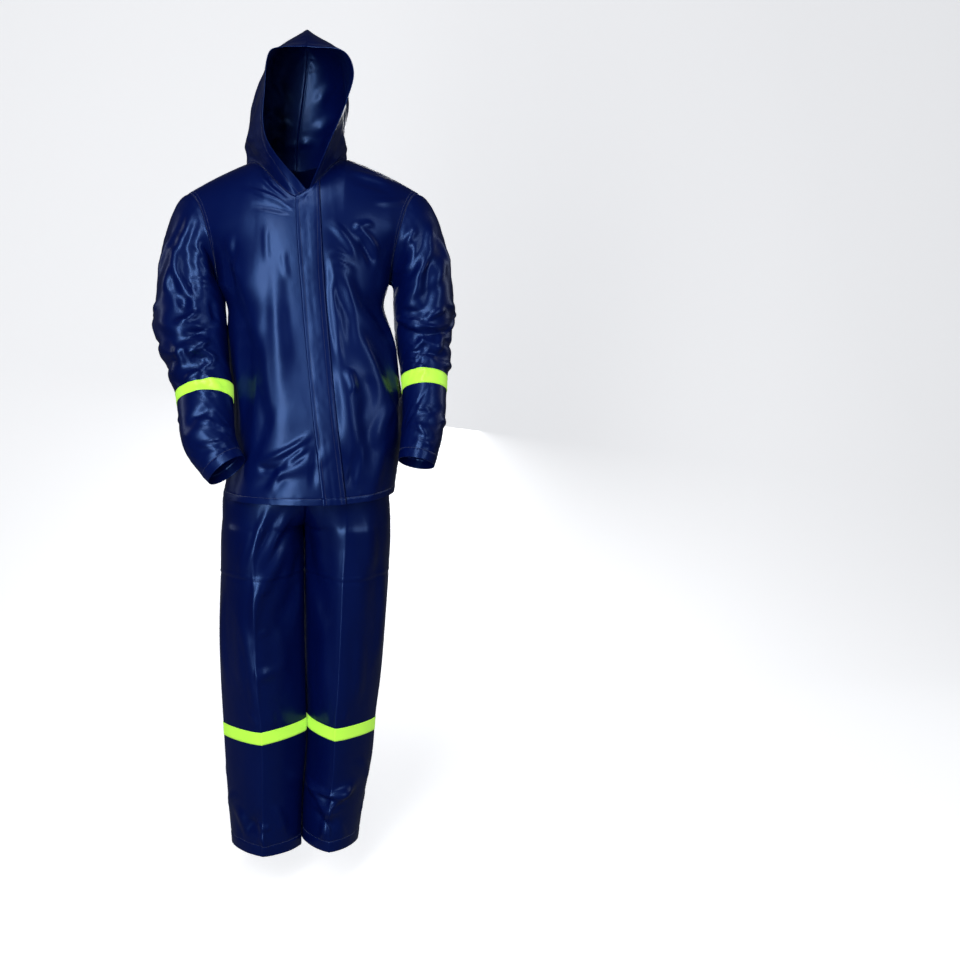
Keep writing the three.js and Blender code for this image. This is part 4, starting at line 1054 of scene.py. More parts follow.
def curve_through(line, at):
    """Points of a smooth centripetal curve through a line of points, at 0 for the first and so on."""
    line = np.array(line)
    line = np.concatenate([[2 * line[0] - line[1]], line, [2 * line[-1] - line[-2]]])
    k = np.minimum(at.astype(int), len(line) - 4)
    t = (at - k)[:, None, None]
    a, b, c, d = (line[k + shift] for shift in range(4))
    spans = (b - a, c - b, d - c)
    first, second, third = (np.sqrt(np.linalg.norm(span, axis=-1, keepdims=True)) for span in spans)
    first, third = np.where(first < 1e-4, second, first), np.where(third < 1e-4, second, third)
    start = ((b - a) / first - (c - a) / (first + second) + (c - b) / second) * second
    end = ((c - b) / second - (d - b) / (second + third) + (d - c) / third) * second
    return b + t * (start + t * (3 * (c - b) - 2 * start - end + t * (2 * (b - c) + start + end)))


def hood_half(side, word):
    turned_in = [0, 0.008, 0.02, 0.034, 0.05, 0.065, 0.075, 0.085]
    share = np.concatenate([turned_in, np.linspace(0.1, 0.985, 70), [0.993, 1]])
    ahead = front_yoke(side, np.minimum(9 * share - 1, 4), np.ones(1))
    behind = back_yoke(side, np.clip(9 - 9 * share, 0, 4), np.ones(1))
    base = np.where((share <= EAR)[:, None], ahead, behind)
    lines = [base] + [hood_row(side, row, share) for row in HOOD[side]]
    at = np.concatenate([[0, 0.015, 0.04], np.linspace(0.08, 4.96, 82), [4.985, 5]])
    points = curve_through(lines, at)
    normals = cloth_normals(points, side)
    height = sum(creases(points, normals, view, folds) for view, folds in HOOD_CREASES.items())
    seams = distance_to_edges(points, ("end", "top", "bottom"))
    edge = arc_lengths(points, 1)
    height = height * smooth(seams / 14) * smooth(edge / 20)
    calm = smooth(seams / 18) * smooth(edge / 14)
    height = height + worn_wrinkles(points, 91 + side, 1.2, 0.2, lean=60) * calm
    height = height + seam_relief(points, ("end", "top", "bottom"), 95 + side)
    past = edge - HOOD_EDGE_DEPTH
    hem = Ripple(99 + side)(arc_lengths(points, 0) / 12, edge / 16) * bell(past, 9)
    height = height + 0.5 * (1 - smooth((past + 1) / 1.5)) - 0.6 * bell(past, 1.2) + 0.8 * hem
    points = pushed(points, normals, height)
    normals = cloth_normals(points, side)
    piece = cloth_piece(f"hood_shell_{word}", points, coated_navy, turned=side)
    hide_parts(f"hood_{word}")
    return points, normals


hoods = {-1: hood_half(-1, "right"), 1: hood_half(1, "left")}


# Storm flap. It is two layers of cloth sewn to the wearer's left front. It closes over the zip
# and both fronts, and stands off them a little along its free edge.
FLAP_COLUMNS = 8
FLAP_STITCHES = (8, -4, -12)


def under_flap(right, left):
    """The columns of both fronts that the flap covers, from the wearer's right to left."""
    return np.concatenate([right[:, FLAP_COLUMNS - 1 :: -1], left[:, :FLAP_COLUMNS]], axis=1)


flap_base = under_flap(front[-1][0], front[1][0])
flap_normals = under_flap(front[-1][1], front[1][1])
flap_up = arc_lengths(flap_base, 0)
flap_across = np.linspace(0, 2 * FLAP_EDGE, 2 * FLAP_COLUMNS)
flap_wave = 0.4 + 1.4 * wrinkles(flap_up, flap_up * 0.1, 7, 70, 1.5, 0, 0.0)
flap_lift = 2.6 + 0.034 * flap_across + flap_wave * smooth(1 - flap_across / 22)
flap_lift = flap_lift - 0.6 * bell(flap_across - 8, 2.4) - 1.1 * bell(flap_across - 42, 2.6)
flap_lift = flap_lift + 0.35 * Ripple(17)(flap_up / 14, flap_across / 12 + 0 * flap_up)
flap_lift = flap_lift - 2.6 * smooth((flap_across - 45) / 4)
flap_points = pushed(flap_base, flap_normals, np.maximum(flap_lift, 1.7))
flap_normals = cloth_normals(flap_points, 1)
flap = cloth_piece("flap", flap_points, coated_navy, thick=1.2)
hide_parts("storm_flap")


# Zip. Its woven tape runs behind both fronts, and two rows of moulded teeth meet between them. The
# slider is closed up at the top of the row, with its pull hanging down.
def zip_tape_material():
    material, tree, shader = new_material("woven_zip_tape")
    place = node_in(tree, "ShaderNodeTexCoord").outputs["Object"]
    weave = node_in(tree, "ShaderNodeTexWave", {"Vector": place, "Scale": 520.0, "Distortion": 0.6})
    weave.bands_direction = "DIAGONAL"
    share = node_in(tree, "ShaderNodeMix", {"Factor": weave.outputs["Fac"]}, data_type="RGBA")
    share.inputs["A"].default_value = (0.004, 0.008, 0.035, 1)
    share.inputs["B"].default_value = (0.010, 0.018, 0.060, 1)
    tree.links.new(share.outputs["Result"], shader.inputs["Base Color"])
    bump = node_in(tree, "ShaderNodeBump", {"Height": weave.outputs["Fac"]})
    bump.inputs["Strength"].default_value = 0.5
    bump.inputs["Distance"].default_value = 0.0003
    tree.links.new(bump.outputs["Normal"], shader.inputs["Normal"])
    shader.inputs["Roughness"].default_value = 0.8
    return material


def zip_plastic_material():
    material, tree, shader = new_material("zip_plastic")
    place = node_in(tree, "ShaderNodeTexCoord").outputs["Object"]
    worn = node_in(tree, "ShaderNodeTexNoise", {"Vector": place, "Scale": 160.0, "Detail": 3.0})
    gloss = node_in(tree, "ShaderNodeMapRange", {"Value": worn.outputs["Fac"], "To Min": 0.28, "To Max": 0.5})
    tree.links.new(gloss.outputs["Result"], shader.inputs["Roughness"])
    shader.inputs["Base Color"].default_value = (0.006, 0.012, 0.05, 1)
    return material


def blocks(places, ways, outs, sizes):
    """Small blocks with chamfered faces, as one list of points and faces."""
    face = ((-1, -0.6), (-1, 0.6), (-0.6, 1), (0.6, 1), (1, 0.6), (1, -0.6), (0.6, -1), (-0.6, -1))
    corners = np.array([(x, y, z) for z in (-1, 1) for x, y in face], float)
    corners[8:, :2] *= 0.8
    verts, faces = [], []
    for place, way, out, size in zip(places, ways, outs, sizes):
        beside = np.cross(way, out)
        first = len(verts)
        half = corners * np.array(size) / 2
        verts.extend(place + half[:, :1] * beside + half[:, 1:2] * way + half[:, 2:] * out)
        faces.append(tuple(first + k for k in range(7, -1, -1)))
        faces.append(tuple(first + 8 + k for k in range(8)))
        for k in range(8):
            after = (k + 1) % 8
            faces.append((first + k, first + after, first + 8 + after, first + 8 + k))
    return np.array(verts), faces


def zip_part(name, verts, faces, material):
    made_piece(name, verts, faces, material)


zip_plastic = zip_plastic_material()
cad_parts["front_zip"].data.materials.clear()
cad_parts["front_zip"].data.materials.append(zip_tape_material())
zip_line = (front[-1][0][:, 0] + front[1][0][:, 0]) / 2
zip_out = unit(front[-1][1][:, 0] + front[1][1][:, 0])
zip_run = np.concatenate([[0], np.cumsum(np.linalg.norm(np.diff(zip_line, axis=0), axis=1))])
TOOTH_PITCH = 1.15
TOOTH_SIZE = (3.4, 1.0, 1.5)
SLIDER_TOOTH = -6
tooth_at = np.arange(16, zip_run[-1] - 14, TOOTH_PITCH)
tooth_places = np.stack([np.interp(tooth_at, zip_run, zip_line[:, k]) for k in range(3)], axis=1)
tooth_outs = unit(np.stack([np.interp(tooth_at, zip_run, zip_out[:, k]) for k in range(3)], axis=1))
tooth_ways = unit(np.gradient(tooth_places, axis=0))
from_side = np.where(np.arange(len(tooth_at)) % 2 == 0, 1.0, -1.0)
tooth_side = from_side[:, None] * np.cross(tooth_ways, tooth_outs)
tooth_places = tooth_places - tooth_outs * 1.3 + tooth_side * 0.8
teeth = blocks(tooth_places, tooth_ways, tooth_outs, [TOOTH_SIZE] * len(tooth_at))
zip_part("zip_teeth", *teeth, zip_plastic)
top, slider_way, slider_out = (rows[SLIDER_TOOTH] for rows in (tooth_places, tooth_ways, tooth_outs))
slider_parts = [(0, 0.1, (9, 11, 2.2)), (2, 0.8, (4, 7, 1.4)), (-15, 0.9, (5, 18, 1.0))]
slider_places = [top + slider_way * up + slider_out * out for up, out, size in slider_parts]
slider_sizes = [size for up, out, size in slider_parts]
slider = blocks(slider_places, [slider_way] * 3, [slider_out] * 3, slider_sizes)
zip_part("zip_slider", *slider, zip_plastic)


# Reflective tape. It is a band of bright yellow-green tape with a fine woven face, sewn on along
# both edges. It follows the cloth that it lies on. A painted glow to the camera stands in for the
# light that it reflects.
def tape_material():
    material, tree, shader = new_material("tape_with_painted_glow")
    place = node_in(tree, "ShaderNodeTexCoord").outputs["Object"]
    weave = node_in(tree, "ShaderNodeTexVoronoi", {"Vector": place, "Scale": 900.0})
    tone = node_in(tree, "ShaderNodeTexNoise", {"Vector": place, "Scale": 22.0, "Detail": 3.0})
    share = node_in(
        tree, "ShaderNodeMapRange", {"Value": tone.outputs["Fac"], "From Min": 0.3, "From Max": 0.7}
    )
    colour = node_in(tree, "ShaderNodeMix", {"Factor": share.outputs["Result"]}, data_type="RGBA")
    colour.inputs["A"].default_value = (0.37, 0.86, 0.012, 1)
    colour.inputs["B"].default_value = (0.45, 0.95, 0.022, 1)
    tree.links.new(colour.outputs["Result"], shader.inputs["Base Color"])
    bump = node_in(tree, "ShaderNodeBump", {"Height": weave.outputs["Distance"]})
    bump.inputs["Strength"].default_value = 0.25
    bump.inputs["Distance"].default_value = 0.0004
    tree.links.new(bump.outputs["Normal"], shader.inputs["Normal"])
    shader.inputs["Roughness"].default_value = 0.42
    # Painted glow: to the camera alone the tape glows, which stands in for the light that its reflective face
    # throws back
    seen = node_in(tree, "ShaderNodeLightPath").outputs["Is Camera Ray"]
    glow = node_in(tree, "ShaderNodeMath", {0: seen, 1: 0.46}, operation="MULTIPLY")
    tree.links.new(glow.outputs[0], shader.inputs["Emission Strength"])
    shader.inputs["Emission Color"].default_value = (0.56, 1.0, 0.15, 1)
    return material


tape_with_painted_glow = tape_material()
laid_tapes = []


def laid_tape(name, points, normals, node, closed, turned):
    points = points + normals * 0.9
    piece = cloth_piece(name, points, tape_with_painted_glow, thick=0.7, closed=closed, turned=turned)
    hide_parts(node)
    laid_tapes.append((name, points, normals, closed))


for side, word, around in ((-1, "right", 0.36), (1, "left", 0.33)):
    points, normals, rows = sleeves[side]
    band = slice(rows[0] - 1, rows[1])
    laid_tape(
        f"band_sleeve_{word}",
        points[band],
        normals[band],
        f"sleeve_tape_{word}",
        True,
        -side,
    )

# The wide tape across the back, which is found on the back panel from behind
BACK_TAPE = {"low": 1336, "left": 100, "long": 212, "wide": 56}
back_tree = BVHTree.FromPolygons(back[0].reshape(-1, 3).tolist(), grid_quads(back[0]).tolist())
tape_places = np.zeros((15, 54, 3))
tape_ways = np.zeros((15, 54, 3))
for i, z in enumerate(np.linspace(BACK_TAPE["low"], BACK_TAPE["low"] + BACK_TAPE["wide"], 15)):
    for j, x in enumerate(np.linspace(BACK_TAPE["left"], BACK_TAPE["left"] - BACK_TAPE["long"], 54)):
        place, way = back_tree.ray_cast(Vector((x, 400, z)), Vector((0, -1, 0)))[:2]
        tape_places[i, j] = place
        tape_ways[i, j] = way if way.y > 0 else -way
laid_tape("band_back", tape_places, unit(tape_ways), "back_tape", False, 1)


# Trousers. Each leg is a front and a back panel, sewn at the side and inside of the leg. The legs
# are pressed flat, with a crease down the front of each, and keep the fold lines of their packing.
CROTCH = 815
CROTCH_X = 1
RISE = 120
WAIST = 1045
LEG = {
    -1: table(
        "z x half_width front back crease round",
        (88, -82.3, 77.1, 82, 76, -88, 1.5),
        (182, -85.3, 81.7, 86, 80, -88, 1.45),
        (300, -85.3, 88.7, 92, 82, -88, 1.3),
        (365, -85.5, 91.5, 95, 84, -90, 1.3),
        (470, -88.9, 93.1, 98, 88, -98, 1.4),
        (575, -90.9, 93.1, 102, 94, -102, 1.5),
        (700, -89.4, 90.6, 107, 102, -106, 1.6),
        (815, -87.7, 88.3, 112, 110, -98, 1.85),
        (935, -76, 77, 112, 110, -84, 1.85),
    ),
    1: table(
        "z x half_width front back crease round",
        (98, 58.1, 63.9, 86, 84, 56, 1.5),
        (194, 65.3, 69.7, 88, 84, 58, 1.45),
        (294, 77.8, 75.2, 92, 84, 66, 1.3),
        (386, 82.6, 77.4, 95, 86, 69, 1.3),
        (480, 87.4, 83.6, 98, 88, 75, 1.4),
        (622, 91.4, 89.6, 103, 96, 81, 1.5),
        (715, 93.4, 92.6, 108, 102, 84, 1.6),
        (815, 94.7, 93.3, 112, 110, 89, 1.85),
        (935, 86, 84, 112, 110, 80, 1.85),
    ),
}
LEG_HEM_DEPTH = 24.5
PACKED_FOLD = 712
# The height of the tape's lower edge, and how far the tape rises towards the inside of the leg
LEG_TAPE = {-1: (337, 16), 1: (350, 6)}
# The inside seams lie at different depths, so that the legs close the gap between them from the front
INSIDE_SEAM_Y = {-1: -14, 1: 20}
HIP = table(
    "z x half_width front back",
    (815, 8, 183, 116, 122),
    (870, 5.6, 180.4, 124, 128),
    (935, 14, 166, 127, 126),
    (1000, 19, 158, 121, 116),
    (1045, 21, 150, 114, 108),
    (1085, 21, 148, 112, 106),
)
LEG_FOLDS = {
    -1: table(
        "turn level lean length width height",
        (118, 730, 62, 240, 17, 8),
        (92, 640, 76, 220, 17, 6),
        (138, 640, 64, 200, 20, -7),
        (105, 500, 8, 90, 13, 5),
        (60, 150, 52, 130, 14, -8),
        (88, 128, -48, 110, 13, 6),
        (300, 560, 74, 420, 24, 8),
        (262, 700, 62, 260, 22, -7),
        (250, 240, 80, 240, 20, 5),
    ),
    1: table(
        "turn level lean length width height",
        (60, 690, 84, 300, 20, 5),
        (126, 640, 92, 300, 22, -5),
        (96, 192, 4, 120, 10, 7),
        (100, 168, 30, 90, 11, -8),
        (62, 232, -26, 100, 13, 6),
        (290, 640, 98, 420, 24, 7),
        (250, 780, 118, 260, 22, 8),
        (236, 740, 112, 240, 20, -8),
    ),
}
TROUSER_FRONT_CREASES = table(
    "x z to_x to_z bow width height crest",
    (-64, 880, -118, 706, -7, 12, 5.0, 1.8),
    (-44, 862, -92, 720, -6, 12, -4.0, 3.0),
    (-14, 872, -102, 706, -9, 18, 8.0, 2.4),
    (-8, 790, -40, 690, -5, 14, 4.0, 3.0),
    (-106, 820, -132, 700, -4, 16, 3.6, 3.0),
    (-134, 640, -104, 396, 9, 15, 4.0, 2.4),
    (-98, 678, -62, 686, 3, 9, 1.2, 2.5),
    (-102, 584, -68, 596, 3, 9, 1.3, 2.5),
    (-64, 640, -44, 470, 7, 20, 3.0, 4.0),
    (-60, 436, -40, 372, 4, 10, 1.2, 2.0),
    (-120, 420, -100, 380, 3, 8, 1.2, 1.6),
    (-74, 424, -66, 376, 3, 8, 1.2, 1.6),
    (-128, 690, -122, 420, -6, 22, 4.0, 5.0),
    (-152, 192, -120, 112, 6, 15, 5.5, 2.2),
    (-98, 152, -70, 150, 3, 9, 3.2, 1.6),
    (-116, 172, -96, 126, 4, 10, -4.0, 2.4),
    (-70, 210, -40, 130, 5, 13, 3.6, 2.6),
    (30, 880, 42, 690, -5, 20, 4.0, 4.0),
    (18, 820, 30, 650, -3, 14, -3.0, 4.0),
    (132, 860, 140, 700, 6, 18, 3.6, 4.0),
    (36, 660, 40, 430, 5, 18, 3.6, 4.0),
    (120, 600, 112, 420, 5, 16, 3.0, 4.0),
    (50, 426, 56, 384, 2, 8, 1.2, 1.6),
    (92, 430, 86, 388, 2, 8, 1.2, 1.6),
    (22, 418, 30, 376, 2, 8, 1.2, 1.6),
    (4, 240, 62, 229, -3, 11, 6.5, 1.4),
    (40, 229, 114, 237, -3, 11, 6.5, 1.4),
    (2, 240, 52, 188, 5, 12, 6.5, 1.4),
    (112, 238, 46, 190, -5, 12, 6.5, 1.4),
    (49, 204, 40, 110, 5, 14, 7.0, 1.5),
    (24, 214, 84, 214, 0, 12, -6.0, 3.0),
    (70, 170, 90, 110, 4, 12, 3.2, 2.4),
)
TROUSER_BACK_CREASES = table(
    "x z to_x to_z bow width height crest",
    (100, 850, 130, 560, 10, 20, 5.0, 3.0),
    (40, 800, 92, 640, 10, 16, 5.0, 2.4),
    (20, 760, 60, 620, 8, 14, -4.0, 3.0),
    (128, 640, 104, 400, -8, 18, 4.5, 3.0),
    (60, 600, 70, 400, 6, 18, 3.6, 4.0),
    (60, 320, 120, 220, 8, 16, 4.0, 2.6),
    (120, 210, 50, 140, -6, 14, 4.6, 2.0),
    (-40, 820, -96, 640, -10, 16, 5.0, 2.4),
    (-20, 770, -56, 600, -8, 14, -4.0, 3.0),
    (-130, 840, -146, 560, -8, 20, 5.0, 3.0),
    (-60, 620, -84, 400, -7, 18, 4.0, 4.0),
    (-120, 330, -50, 240, -8, 16, 4.0, 2.6),
    (-46, 210, -110, 146, 6, 14, 4.6, 2.0),
)
TROUSER_SIDE_CREASES = table(
    "x z to_x to_z bow width height crest",
    (-50, 760, -30, 480, 10, 22, 4.0, 4.0),
    (40, 700, 30, 440, -10, 22, 4.0, 4.0),
    (-60, 300, 10, 220, 8, 15, 3.6, 3.0),
    (50, 220, -20, 150, -8, 15, 4.0, 2.6),
)


def leg_point(side, share, z, behind):
    leg = section_at(LEG[side], "z", z)
    sign = 1 if behind else -1
    angle = share * math.pi
    exponent = 2 / (2.1 + 0 * z if behind else leg["round"])
    height = turned_folds(LEG_FOLDS[side], -sign * angle, z, leg["half_width"])
    grown = 1 + height * smooth((1 - share) * 5) * smooth(share * 5) / leg["half_width"]
    across = side * leg["half_width"] * power(np.cos(angle), exponent) * grown
    to_crease = 0 if behind else (leg["crease"] - leg["x"]) * np.sin(angle) ** 2
    depth = (leg["back"] if behind else leg["front"]) * np.abs(np.sin(angle)) ** exponent * grown
    inside = INSIDE_SEAM_Y[side] * share**3 * smooth((CROTCH - z) / 50)
    return np.stack(np.broadcast_arrays(leg["x"] + across + to_crease, sign * depth + inside, z), axis=-1)


def trouser_point(side, share, z, behind):
    """Above the crotch the legs blend into one section, and share 1 is the seam in its middle."""
    leg = leg_point(side, share, z, behind)
    hip = section_at(HIP, "z", z)
    at_crotch = leg_point(side, share, np.full_like(share, CROTCH), behind)[..., 0]
    outer, inner = (leg_point(side, np.full(1, end), np.full(1, CROTCH), behind)[0, 0] for end in (0.0, 1.0))
    out = np.clip((at_crotch - inner) / (outer - inner), 0, 1)
    depth = (hip["back"] if behind else -hip["front"]) * (1 - out ** (2 / BODY_POWER)) ** (BODY_POWER / 2)
    blend = np.sqrt(1 - (1 - np.clip((z - CROTCH) / RISE, 0, 1)) ** 2)
    target = np.stack(np.broadcast_arrays(hip["x"] + side * hip["half_width"] * out, depth, z), axis=-1)
    point = mix(leg, target, blend[..., None])
    middle = mix(CROTCH_X, hip["x"], blend)
    drift = (point[..., -1:, 0] - middle[..., -1:]) * smooth((share - 0.85) / 0.15) * (z > CROTCH)
    point[..., 0] -= drift
    return point


def trouser_levels(side):
    hem, tape = LEG[side][0]["z"], LEG_TAPE[side][0]
    cuff = hem + np.array([0, 1.5, 4, 9, 14, 19, 22, 23.5, 24.5, 25.5, 27, 30])
    below = np.linspace(hem + 34, tape, round((tape - hem - 34) / 4.4) + 1)
    band = np.linspace(tape, tape + TAPE_WIDTH, 9)[1:]
    above = np.linspace(tape + TAPE_WIDTH, WAIST, round((WAIST - tape - TAPE_WIDTH) / 4.4))[1:]
    return np.concatenate([cuff, below, band, above])


def trouser_grid(side, behind):
    hem, rise = LEG[side][0]["z"], LEG_TAPE[side][1]
    share = np.concatenate([[0, 0.006, 0.014], np.linspace(0.028, 0.972, 62), [0.986, 0.994, 1]])
    share, level = np.meshgrid(share, trouser_levels(side))
    lifted = smooth((level - hem) / 160) * smooth((CROTCH - level) / 300)
    return trouser_point(side, share, level + rise * share * lifted, behind), share, level


def trouser_panel(side, word, behind):
    points, share, level = trouser_grid(side, behind)
    turned = side if behind else -side
    normals = cloth_normals(points, turned)
    view, folds = ("back", TROUSER_BACK_CREASES) if behind else ("front", TROUSER_FRONT_CREASES)
    outside = "right" if side < 0 else "left"
    height = creases(points, normals, view, folds) + creases(points, normals, outside, TROUSER_SIDE_CREASES)
    seams = distance_to_edges(points, ("start", "end"))
    hem = arc_lengths(points, 0)
    height = height * smooth(seams / 14) * (0.3 + 0.7 * smooth(hem / 50))
    seed = 111 + side + 10 * behind
    height = height + worn_wrinkles(points, seed, 1.2, 0.15, lean=86) * smooth(seams / 20)
    height = height + seam_relief(points, ("start", "end"), seed + 2)
    height = height + hem_relief(points, LEG_HEM_DEPTH, seed + 3)
    beside = (share - 0.5) * leg_length_round(side, level)
    pressed = bell(beside, 2.0) + 2.6 * np.exp(-np.abs(beside) / 20)
    pressed = (0.6 if behind else 1.0) * pressed * smooth((870 - level) / 60)
    height = height + pressed * smooth(seams / 14)
    packed = PACKED_FOLD + 3 * np.sin(share * 9 + side)
    height = height + 1.3 * bell(level - packed, 2.2) - 0.8 * bell(level - packed + 7, 5)
    top = arc_lengths(points[::-1], 0)[::-1]
    around = arc_lengths(points, 1)
    gather = np.sin(around / 1.55 + 1.4 * Ripple(seed + 5)(around / 30, top / 30))
    height = height + 1.1 * gather * bell(top, 26) * smooth(seams / 5)
    points = pushed(points, normals, height)
    normals = cloth_normals(points, turned)
    name = f"{'back' if behind else 'front'}_{word}"
    piece = cloth_piece(f"leg_{name}", points, coated_trousers, turned=turned)
    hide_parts(f"trouser_{name}")
    return points, normals


def leg_length_round(side, level):
    """Roughly how far it is over one panel from the side of the leg to the inside, for each row."""
    leg = section_at(LEG[side], "z", level)
    return 2.4 * leg["half_width"]


coated_trousers = coated_cloth_material(
    "coated_trousers", deep=(0.0003, 0.0030, 0.054), pale=(0.0005, 0.0042, 0.068), roughness=0.33, coat=0.05
)
legs = {
    (side, behind): trouser_panel(side, word, behind)
    for side, word, behind, flat in (
        (-1, "right", False, (0.30, 0.98)),
        (-1, "right", True, (0.33, 0.98)),
        (1, "left", False, (0.30, 0.97)),
        (1, "left", True, (0.33, 0.97)),
    )
}
for side, word in ((-1, "right"), (1, "left")):
    levels = trouser_levels(side)
    low, high = np.searchsorted(levels, [LEG_TAPE[side][0], LEG_TAPE[side][0] + TAPE_WIDTH])
    band = slice(low, high + 1)
    (ahead, ahead_ways), (behind, behind_ways) = legs[side, False], legs[side, True]
    ring = np.concatenate([ahead[band, :-1], behind[band, :0:-1]], axis=1)
    ways = np.concatenate([ahead_ways[band, :-1], behind_ways[band, :0:-1]], axis=1)
    laid_tape(
        f"band_leg_{word}",
        ring,
        ways,
        f"leg_tape_{word}",
        True,
        -side,
    )


# Waistband. Wide elastic in a casing of cloth gathers the top of the trousers. Four lines of sewing
# hold the elastic flat in its casing and draw the cloth in.
ELASTIC = 40
waist_parts = [
    legs[-1, False][0][-1, :-1],
    legs[1, False][0][-1, :0:-1],
    legs[1, True][0][-1, :-1],
    legs[-1, True][0][-1, :0:-1],
]
waist_ring = np.concatenate(waist_parts)
hip_low, hip_high = section_at(HIP, "z", WAIST), section_at(HIP, "z", WAIST + ELASTIC)
top_ring = np.stack(
    [
        hip_high["x"] + (waist_ring[:, 0] - hip_low["x"]) * hip_high["half_width"] / hip_low["half_width"],
        waist_ring[:, 1] * hip_high["front"] / hip_low["front"],
        np.full(len(waist_ring), float(WAIST + ELASTIC)),
    ],
    axis=1,
)
rise = np.linspace(0, 1, 22)[:, None, None]
waist_points = mix(waist_ring[None], top_ring[None], rise)
waist_normals = cloth_normals(waist_points, 1, closed=True)
waist_around = arc_lengths(waist_points, 1)
waist_up = ELASTIC * rise[..., 0]
waist_gather = np.sin(waist_around / 1.55 + 1.2 * Ripple(131)(waist_around / 26, waist_up / 30))
channels = sum(bell(waist_up - line, 1.6) for line in (2, 14, 26, 38))
waist_height = 0.9 * waist_gather * (1 - 0.6 * channels) - 0.9 * channels
waist_points = pushed(waist_points, waist_normals, waist_height)
waist = cloth_piece("waist", waist_points, coated_trousers, thick=1.5, closed=True)
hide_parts("waistband")


# Thread. Double rows of stitches run beside the seams, and single ones along hems and tapes. The
# thread is navy on the cloth, and yellow-green on the tapes.
def thread_material(name, colour):
    material, tree, shader = new_material(name)
    shader.inputs["Base Color"].default_value = (*colour, 1)
    shader.inputs["Roughness"].default_value = 0.7
    shader.inputs["Sheen Weight"].default_value = 0.4
    return material


navy_thread = thread_material("navy_thread", (0.02, 0.04, 0.13))
tape_thread = thread_material("tape_thread", (0.45, 0.8, 0.03))


def stitch_row(lines, pitch=3.4, length=2.3, radius=0.34, lift=0.15):
    """Thread stitches along lines of points with their normals, as one list of points and faces."""
    places, quads = [], []
    ring = np.array([(1, 0), (0.3, 0.9), (-0.6, 0.9), (-1, 0)])
    for points, normals in lines:
        step = np.linalg.norm(np.diff(points, axis=0), axis=1)
        run = np.concatenate([[0], np.cumsum(step)])
        if run[-1] < pitch:
            continue
        starts = np.arange(pitch / 2, run[-1] - length, pitch)
        for start in starts:
            samples = np.array([start, start + 0.2 * length, start + 0.8 * length, start + length])
            middle = np.stack([np.interp(samples, run, points[:, k]) for k in range(3)], axis=1)
            out = np.stack([np.interp(samples, run, normals[:, k]) for k in range(3)], axis=1)
            out /= np.linalg.norm(out, axis=1, keepdims=True)
            way = middle[-1] - middle[0]
            way /= max(np.linalg.norm(way), 1e-9)
            beside = np.cross(way, out)
            base = len(places)
            for k, (sink, wide) in enumerate([(-0.3, 0.5), (0.1, 1), (0.1, 1), (-0.3, 0.5)]):
                for across, up in ring:
                    sideways = beside[k] * across * radius * wide
                    places.append(middle[k] + sideways + out[k] * (lift + sink + up * radius))
            for k in range(3):
                for e in range(3):
                    a = base + 4 * k + e
                    quads.append((a, a + 1, a + 5, a + 4))
    return np.array(places), quads


def lines_across(points, normals, at, axis):
    """Lines over a grid of cloth, at these distances in millimetres from its first row or column."""
    if axis == 1:
        points, normals = points.transpose(1, 0, 2), normals.transpose(1, 0, 2)
    run = arc_lengths(points, 0)
    lines = []
    for far in at:
        if far < 0:
            base, ways, reach = points[::-1], normals[::-1], arc_lengths(points[::-1], 0)
        else:
            base, ways, reach = points, normals, run
        far = abs(far)
        k = np.clip((reach < far).sum(axis=0) - 1, 0, len(reach) - 2)
        j = np.arange(reach.shape[1])
        t = ((far - reach[k, j]) / np.maximum(reach[k + 1, j] - reach[k, j], 1e-6))[:, None]
        lines.append((mix(base[k, j], base[k + 1, j], t), unit(mix(ways[k, j], ways[k + 1, j], t))))
    return lines


def joined_up(lines):
    return [(np.concatenate([p, p[:1]]), np.concatenate([n, n[:1]])) for p, n in lines]


def sewn(name, lines, slot, thread=navy_thread, **sizes):
    places, quads = stitch_row(lines, **sizes)
    piece = made_piece(name, places, quads, thread)
    piece.data.shade_smooth()


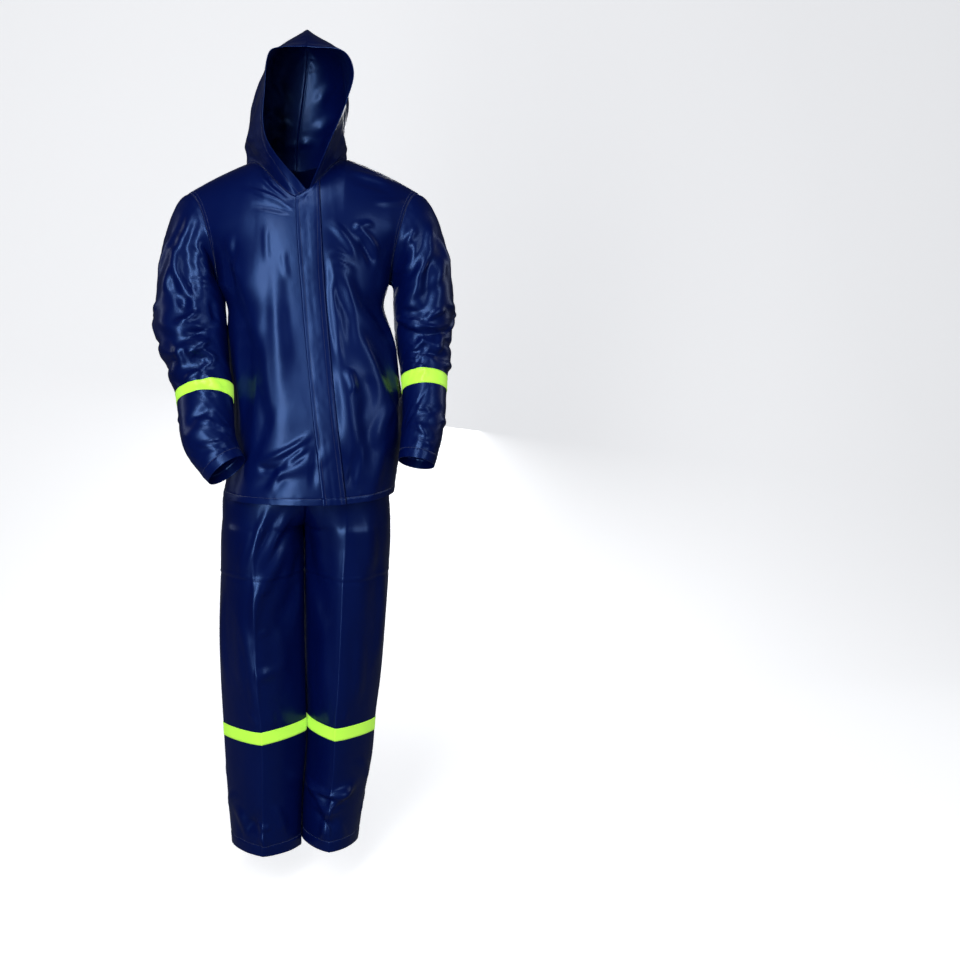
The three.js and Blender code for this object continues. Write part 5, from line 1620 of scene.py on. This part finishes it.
# A double row of stitches, in millimetres back from the seam at the end of a panel
BACK_FROM_SEAM = (-3, -9)
# The columns of a front that end at the neckline and at the shoulder, and those of the back
FRONT_NECKLINE = slice(6, 36)
FRONT_SHOULDER = slice(36, None)
BACK_NECKLINE = slice(35, 104)
yoke_start = len(body_rows()[0])


def part_of(lines, stretch):
    return [(points[stretch], normals[stretch]) for points, normals in lines]


for side, word in ((-1, "right"), (1, "left")):
    points, normals = front[side]
    lines = lines_across(points, normals, [BODY_HEM_DEPTH], 0)
    lines += part_of(lines_across(points, normals, [-5], 0), FRONT_NECKLINE)
    lines += part_of(lines_across(points, normals, BACK_FROM_SEAM, 0), FRONT_SHOULDER)
    lines += lines_across(points[yoke_start:], normals[yoke_start:], BACK_FROM_SEAM, 1)
    sewn(f"stitches_front_{word}", lines, "coated_cloth")
    points, normals = hoods[side]
    lines = lines_across(points, normals, [HOOD_EDGE_DEPTH, *BACK_FROM_SEAM], 1)
    lines += lines_across(points, normals, [5], 0)
    sewn(f"stitches_hood_{word}", lines, "coated_cloth")
    points, normals = sleeves[side][:2]
    lines = joined_up(lines_across(points, normals, [-CUFF_DEPTH], 0))
    sewn(f"stitches_sleeve_{word}", lines, "coated_cloth")
    for behind in (False, True):
        points, normals = legs[side, behind]
        beside_seam = [3, 9] if behind else [3]
        lines = lines_across(points, normals, [LEG_HEM_DEPTH], 0)
        lines += lines_across(points, normals, beside_seam, 1)
        sewn(f"stitches_leg_{'back' if behind else 'front'}_{word}", lines, "trouser_cloth")
points, normals = back
lines = lines_across(points, normals, [BODY_HEM_DEPTH], 0)
lines += part_of(lines_across(points, normals, [-5], 0), BACK_NECKLINE)
sewn("stitches_back", lines, "coated_cloth")
sewn("stitches_flap", lines_across(flap_points, flap_normals, FLAP_STITCHES, 1), "coated_cloth")
for name, points, normals, closed in laid_tapes:
    lines = lines_across(points, normals, [2, -2], 0)
    if closed:
        lines = joined_up(lines)
    sewn(f"stitches_{name}", lines, "reflective_tape", thread=tape_thread, pitch=3.0, length=2.1, radius=0.28)
